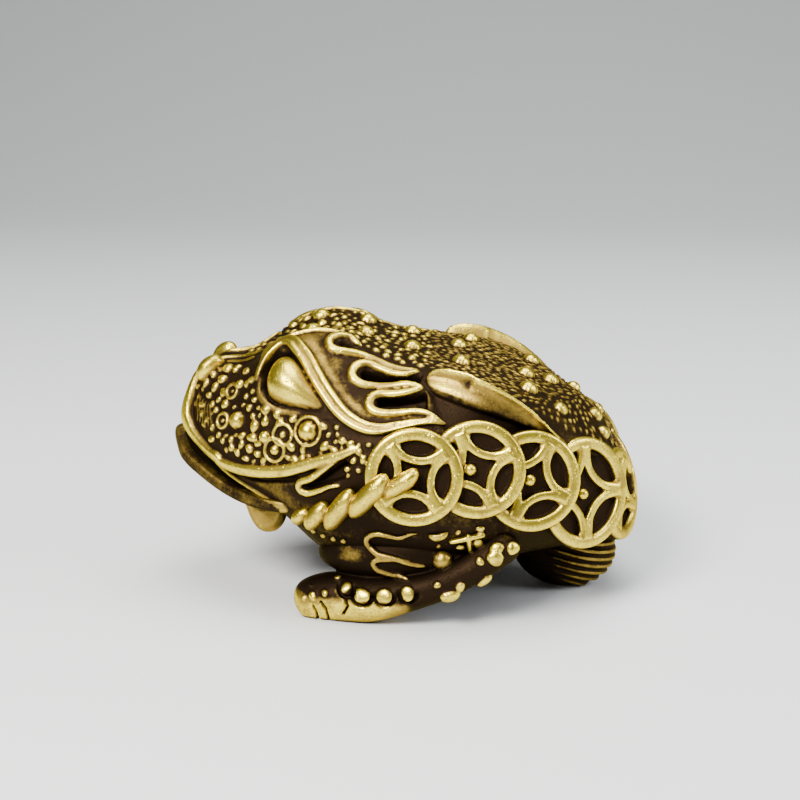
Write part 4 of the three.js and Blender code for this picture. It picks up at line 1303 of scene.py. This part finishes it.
def cast_skin_group():
    """Node group: mottled patina with painted shade in the hollows, under overhangs and low down, worn crests and the
    pits of cast brass.
    """
    group = bpy.data.node_groups.new("cast_brass_skin", "ShaderNodeTree")
    for name in ("Bright", "Aged", "Patina"):
        add_socket(group, name, "NodeSocketColor")
    masks = ("Relief", "Wear", "Open", "Rub_and_shade", "Grain")
    for name in masks:
        add_socket(group, name, "NodeSocketFloat")
    add_socket(group, "Color", "NodeSocketColor", False)
    for name in ("Roughness", "Metallic", "Height"):
        add_socket(group, name, "NodeSocketFloat", False)
    nodes, links = group.nodes, group.links
    given = nodes.new("NodeGroupInput")
    result = nodes.new("NodeGroupOutput")
    coords = nodes.new("ShaderNodeTexCoord")

    def noise(scale, detail, rough=0.55):
        node = nodes.new("ShaderNodeTexNoise")
        node.inputs["Scale"].default_value = scale
        node.inputs["Detail"].default_value = detail
        node.inputs["Roughness"].default_value = rough
        links.new(coords.outputs["Object"], node.inputs["Vector"])
        return node.outputs["Fac"]

    def math_node(kind, a, b):
        node = nodes.new("ShaderNodeMath")
        node.operation = kind
        for socket, value in zip(node.inputs, (a, b)):
            if isinstance(value, (int, float)):
                socket.default_value = value
            else:
                links.new(value, socket)
        return node.outputs[0]

    def ranged(value, low, high, to_low=0.0, to_high=1.0):
        node = nodes.new("ShaderNodeMapRange")
        node.interpolation_type = "SMOOTHSTEP"
        links.new(value, node.inputs["Value"])
        for name, number in zip(("From Min", "From Max", "To Min", "To Max"), (low, high, to_low, to_high)):
            node.inputs[name].default_value = number
        return node.outputs["Result"]

    def mixed(factor, a, b):
        node = nodes.new("ShaderNodeMix")
        node.data_type = "RGBA"
        for value, socket in ((factor, node.inputs["Factor"]), (a, node.inputs[6]), (b, node.inputs[7])):
            links.new(value, socket)
        return node.outputs[2]

    def about(value, middle, gain):
        return math_node("MULTIPLY", math_node("SUBTRACT", value, middle), gain)

    relief, wear, sky, rub_and_shade, grain = (given.outputs[name] for name in masks)
    coarse = noise(420, 4)
    fine = noise(2600, 3, 0.6)
    crest = math_node("MULTIPLY", relief, 0.42)
    edge = math_node("MULTIPLY", about(wear, 0.5, 1.1), ranged(relief, 0, 1, 0.35, 1))
    for share in (edge, about(rub_and_shade, 0.55, 0.2), about(coarse, 0.5, 0.45), about(fine, 0.5, 0.25)):
        crest = math_node("ADD", crest, share)
    # Toned and rubbed brass fade where little sky is seen: painted shade in hollows and under overhangs, with their
    # real patina.
    toned = math_node("MULTIPLY", ranged(crest, 0.06, 0.46), ranged(sky, 0.2, 0.65))
    rubbed = math_node("MULTIPLY", ranged(crest, 0.46, 0.84), ranged(sky, 0.22, 0.62))
    stain = ranged(noise(330, 5, 0.7), 0.53, 0.66, 1, 0.25)
    specks = ranged(noise(4200, 2, 0.6), 0.50, 0.68, 1, 0.35)
    rubbed = math_node("MULTIPLY", rubbed, math_node("MULTIPLY", stain, specks))
    deep_and_shade = nodes.new("ShaderNodeRGB")
    deep_and_shade.outputs[0].default_value = DEEP_PATINA_AND_SHADE
    # Painted shade: the skin goes towards the deep colour where little sky is seen or little is rubbed, partly real
    # patina.
    lit = math_node("MULTIPLY", ranged(sky, 0.2, 0.85), ranged(rub_and_shade, 0, 0.5, 0.3, 1))
    base = mixed(lit, deep_and_shade.outputs[0], given.outputs["Patina"])
    colour = mixed(rubbed, mixed(toned, base, given.outputs["Aged"]), given.outputs["Bright"])
    links.new(colour, result.inputs["Color"])
    worn = math_node("ADD", toned, rubbed)
    links.new(ranged(worn, 0, 2, 0.56, 0.30), result.inputs["Roughness"])
    links.new(ranged(worn, 0, 0.6, 0.82, 1.0), result.inputs["Metallic"])

    pits = nodes.new("ShaderNodeTexVoronoi")
    pits.inputs["Scale"].default_value = 3400
    links.new(coords.outputs["Object"], pits.inputs["Vector"])
    hollow = ranged(pits.outputs["Distance"], 0.0, 0.5)
    rare = ranged(noise(900, 2), 0.44, 0.62)
    pitted = math_node("MULTIPLY", math_node("SUBTRACT", hollow, 1.0), rare)
    rough = math_node("MULTIPLY", math_node("ADD", fine, coarse), grain)
    links.new(math_node("ADD", rough, pitted), result.inputs["Height"])
    return group


def brass_material(finish):
    """Aged cast brass: dark patina and painted shade in the hollows, rubbed pale on the crests, finely pitted."""
    material = bpy.data.materials.new(SLOT)
    material.use_nodes = True
    nodes, links = material.node_tree.nodes, material.node_tree.links
    shader = nodes["Principled BSDF"]
    shader.inputs["Specular IOR Level"].default_value = 0.12
    shader.inputs["Specular Tint"].default_value = (0.85, 0.74, 0.45, 1)
    skin = nodes.new("ShaderNodeGroup")
    skin.node_tree = cast_skin_group()
    for name, colour in (("Bright", finish.bright), ("Aged", finish.aged), ("Patina", finish.patina)):
        skin.inputs[name].default_value = (*colour, 1)
    skin.inputs["Grain"].default_value = 0.55
    for name in ("relief", "wear", "open", "rub_and_shade"):
        layer = nodes.new("ShaderNodeAttribute")
        layer.attribute_name = name
        links.new(layer.outputs["Fac"], skin.inputs[name.capitalize()])
    bump = nodes.new("ShaderNodeBump")
    bump.inputs["Strength"].default_value = 0.55
    bump.inputs["Distance"].default_value = 0.08 * MM
    links.new(skin.outputs["Height"], bump.inputs["Height"])
    for node, name, socket in ((skin, "Color", "Base Color"), (skin, "Roughness", "Roughness"),
                               (skin, "Metallic", "Metallic"), (bump, "Normal", "Normal")):
        links.new(node.outputs[name], shader.inputs[socket])
    return material


class TOAD_OT_patina(bpy.types.Operator):
    """Ages the brass: dark patina and painted shade in the hollows, under overhangs, on undersides and near the
    floor, rubbed crests
    """

    bl_idname = "toad.patina"
    bl_label = "Patina"

    def execute(self, context):
        pieces = [bpy.data.objects[name] for name in PIECES]
        material = brass_material(context.scene.toad_finish)
        clay = Clay()
        for piece in pieces:
            piece.data.calc_loop_triangles()
            clay.add(points_of(piece), values_of(piece.data.loop_triangles, "vertices", 3, np.int32))
        tree = clay.tree()
        hull = hull_tree(np.vstack(clay.points)[::7])
        aged = {}
        for piece in pieces:
            twin = piece.name.replace("right", "left")
            if twin not in aged:
                points, normals = points_of(piece), normals_of(piece)
                edges = values_of(piece.data.edges, "vertices", 2, np.int32)
                near = proudness(points, normals, edges, *NEAR)
                wide = proudness(points, normals, edges, *WIDE)
                free = openness(points, normals, tree, RAYS)
                aged[twin] = 0.6 * near + 0.4 * wide, spread(free, edges, len(points), 2)[:, 0]
            wear, free = aged[twin]
            tilt = normals_of(piece)[:, 2]
            points = points_of(piece)
            depth = np.array([hull.find_nearest(p)[3] for p in points.tolist()])
            # Rub and painted shade: faces that look down, lie deep under the outer shape or sit near the floor are
            # rubbed less and painted darker, standing in for the shade that falls there.
            held_and_shaded = smoothstep(-0.9, -0.1, tilt) * smoothstep(HELD_AND_SHADED_DEPTH, 0, depth)
            rub_and_shade_by_height = 0.35 + 0.65 * smoothstep(RUB_AND_SHADE_FROM, RUB_AND_SHADE_TO, points[:, 2])
            store(piece, "wear", wear)
            store(piece, "open", free)
            store(piece, "rub_and_shade", held_and_shaded * rub_and_shade_by_height)
            piece.data.materials.clear()
            piece.data.materials.append(material)
        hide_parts(NODE)
        return {"FINISHED"}


CAMERA_PLACE = (0.19413, 0.01976, 0.070)
CAMERA_TARGET = (0.0, -0.00065, 0.02314)
CAMERA_LENS = 72
# The floor, and the wall that it curves up into behind the figure.
FLOOR_SIZE = 3
FLOOR_SHIFT = 0.7
WALL_X = -0.79
WALL_HEIGHT = 1.4
COVE_RADIUS = 0.45


def aim(obj, place, target):
    obj.location = place
    obj.rotation_euler = (Vector(target) - Vector(place)).to_track_quat("-Z", "Y").to_euler()


def soft_light(name, place, target, size, power, colour=(1, 1, 1)):
    light = bpy.data.lights.new(name, "AREA")
    light.shape = "RECTANGLE"
    light.size, light.size_y = size
    light.energy = power
    light.color = colour
    aim(new_object(name, light), place, target)


class TOAD_OT_stage(bpy.types.Operator):
    """Sets the pale floor, the soft studio lights and the camera"""

    bl_idname = "toad.stage"
    bl_label = "Studio"

    def execute(self, context):
        finish = context.scene.toad_finish
        deselect()
        bpy.ops.mesh.primitive_plane_add(size=FLOOR_SIZE, location=(FLOOR_SHIFT, 0, 0))
        floor = take("studio_floor")
        bpy.ops.object.transform_apply(location=True)
        bpy.ops.object.mode_set(mode="EDIT")
        bpy.ops.mesh.select_all(action="DESELECT")
        bpy.ops.object.mode_set(mode="OBJECT")
        for edge in floor.data.edges:
            edge.select = all(floor.data.vertices[v].co.x < WALL_X for v in edge.vertices)
        bpy.ops.object.mode_set(mode="EDIT")
        bpy.ops.mesh.select_mode(type="EDGE")
        bpy.ops.mesh.extrude_region_move(TRANSFORM_OT_translate={"value": (0, 0, WALL_HEIGHT)})
        bpy.ops.object.mode_set(mode="OBJECT")
        for edge in floor.data.edges:
            ends = [floor.data.vertices[v].co for v in edge.vertices]
            edge.select = all(p.x < WALL_X and p.z < 0.01 for p in ends)
        bpy.ops.object.mode_set(mode="EDIT")
        bpy.ops.mesh.bevel(offset=COVE_RADIUS, segments=16, affect="EDGES")
        bpy.ops.object.mode_set(mode="OBJECT")
        bpy.ops.object.shade_smooth()
        material = bpy.data.materials.new("studio_floor")
        material.use_nodes = True
        shader = material.node_tree.nodes["Principled BSDF"]
        shader.inputs["Base Color"].default_value = (*finish.floor, 1)
        shader.inputs["Roughness"].default_value = 0.6
        floor.data.materials.append(material)
        soft_light("key_light", (0.26, -0.13, 0.27), (0, 0, 0.015), (0.16, 0.12), 3.7, (1, 0.98, 0.93))
        soft_light("top_light", (-0.02, 0.05, 0.42), (0, 0, 0.01), (0.3, 0.3), 2.6)
        soft_light("rear_light", (0.05, 0.36, 0.2), (0, 0, 0.015), (0.2, 0.2), 1.3, (0.95, 0.97, 1))
        world = bpy.data.worlds.new("studio") if not context.scene.world else context.scene.world
        context.scene.world = world
        world.use_nodes = True
        backdrop = world.node_tree.nodes["Background"]
        backdrop.inputs["Color"].default_value = (0.72, 0.74, 0.78, 1)
        backdrop.inputs["Strength"].default_value = 0.22
        camera = bpy.data.cameras.new("camera")
        camera.lens = CAMERA_LENS
        camera.sensor_width = 36
        camera.clip_start = 0.005
        context.scene.camera = new_object("camera", camera)
        aim(context.scene.camera, CAMERA_PLACE, CAMERA_TARGET)
        return {"FINISHED"}


STEPS = [TOAD_OT_hide, TOAD_OT_limbs, TOAD_OT_coins, TOAD_OT_rope, TOAD_OT_patina, TOAD_OT_stage]


class TOAD_PT_panel(bpy.types.Panel):
    """Money toad tools"""

    bl_idname = "TOAD_PT_panel"
    bl_label = "Money Toad"
    bl_space_type = "VIEW_3D"
    bl_region_type = "UI"
    bl_category = "Money Toad"

    def draw(self, context):
        for group in (context.scene.toad_sizes, context.scene.toad_finish):
            box = self.layout.box()
            for name in group.__annotations__:
                box.prop(group, name)
        for step in STEPS:
            self.layout.operator(step.bl_idname)


CLASSES = [ToadSizes, ToadFinish, *STEPS, TOAD_PT_panel]


def register():
    for cls in CLASSES:
        bpy.utils.register_class(cls)
    bpy.types.Scene.toad_sizes = bpy.props.PointerProperty(type=ToadSizes)
    bpy.types.Scene.toad_finish = bpy.props.PointerProperty(type=ToadFinish)


def unregister():
    del bpy.types.Scene.toad_sizes
    del bpy.types.Scene.toad_finish
    for cls in reversed(CLASSES):
        bpy.utils.unregister_class(cls)


def main():
    register()
    bpy.ops.toad.hide()
    bpy.ops.toad.limbs()
    bpy.ops.toad.coins()
    bpy.ops.toad.rope()
    bpy.ops.toad.patina()
    bpy.ops.toad.stage()
    bpy.context.view_layer.update()


if __name__ == "__main__":
    main()
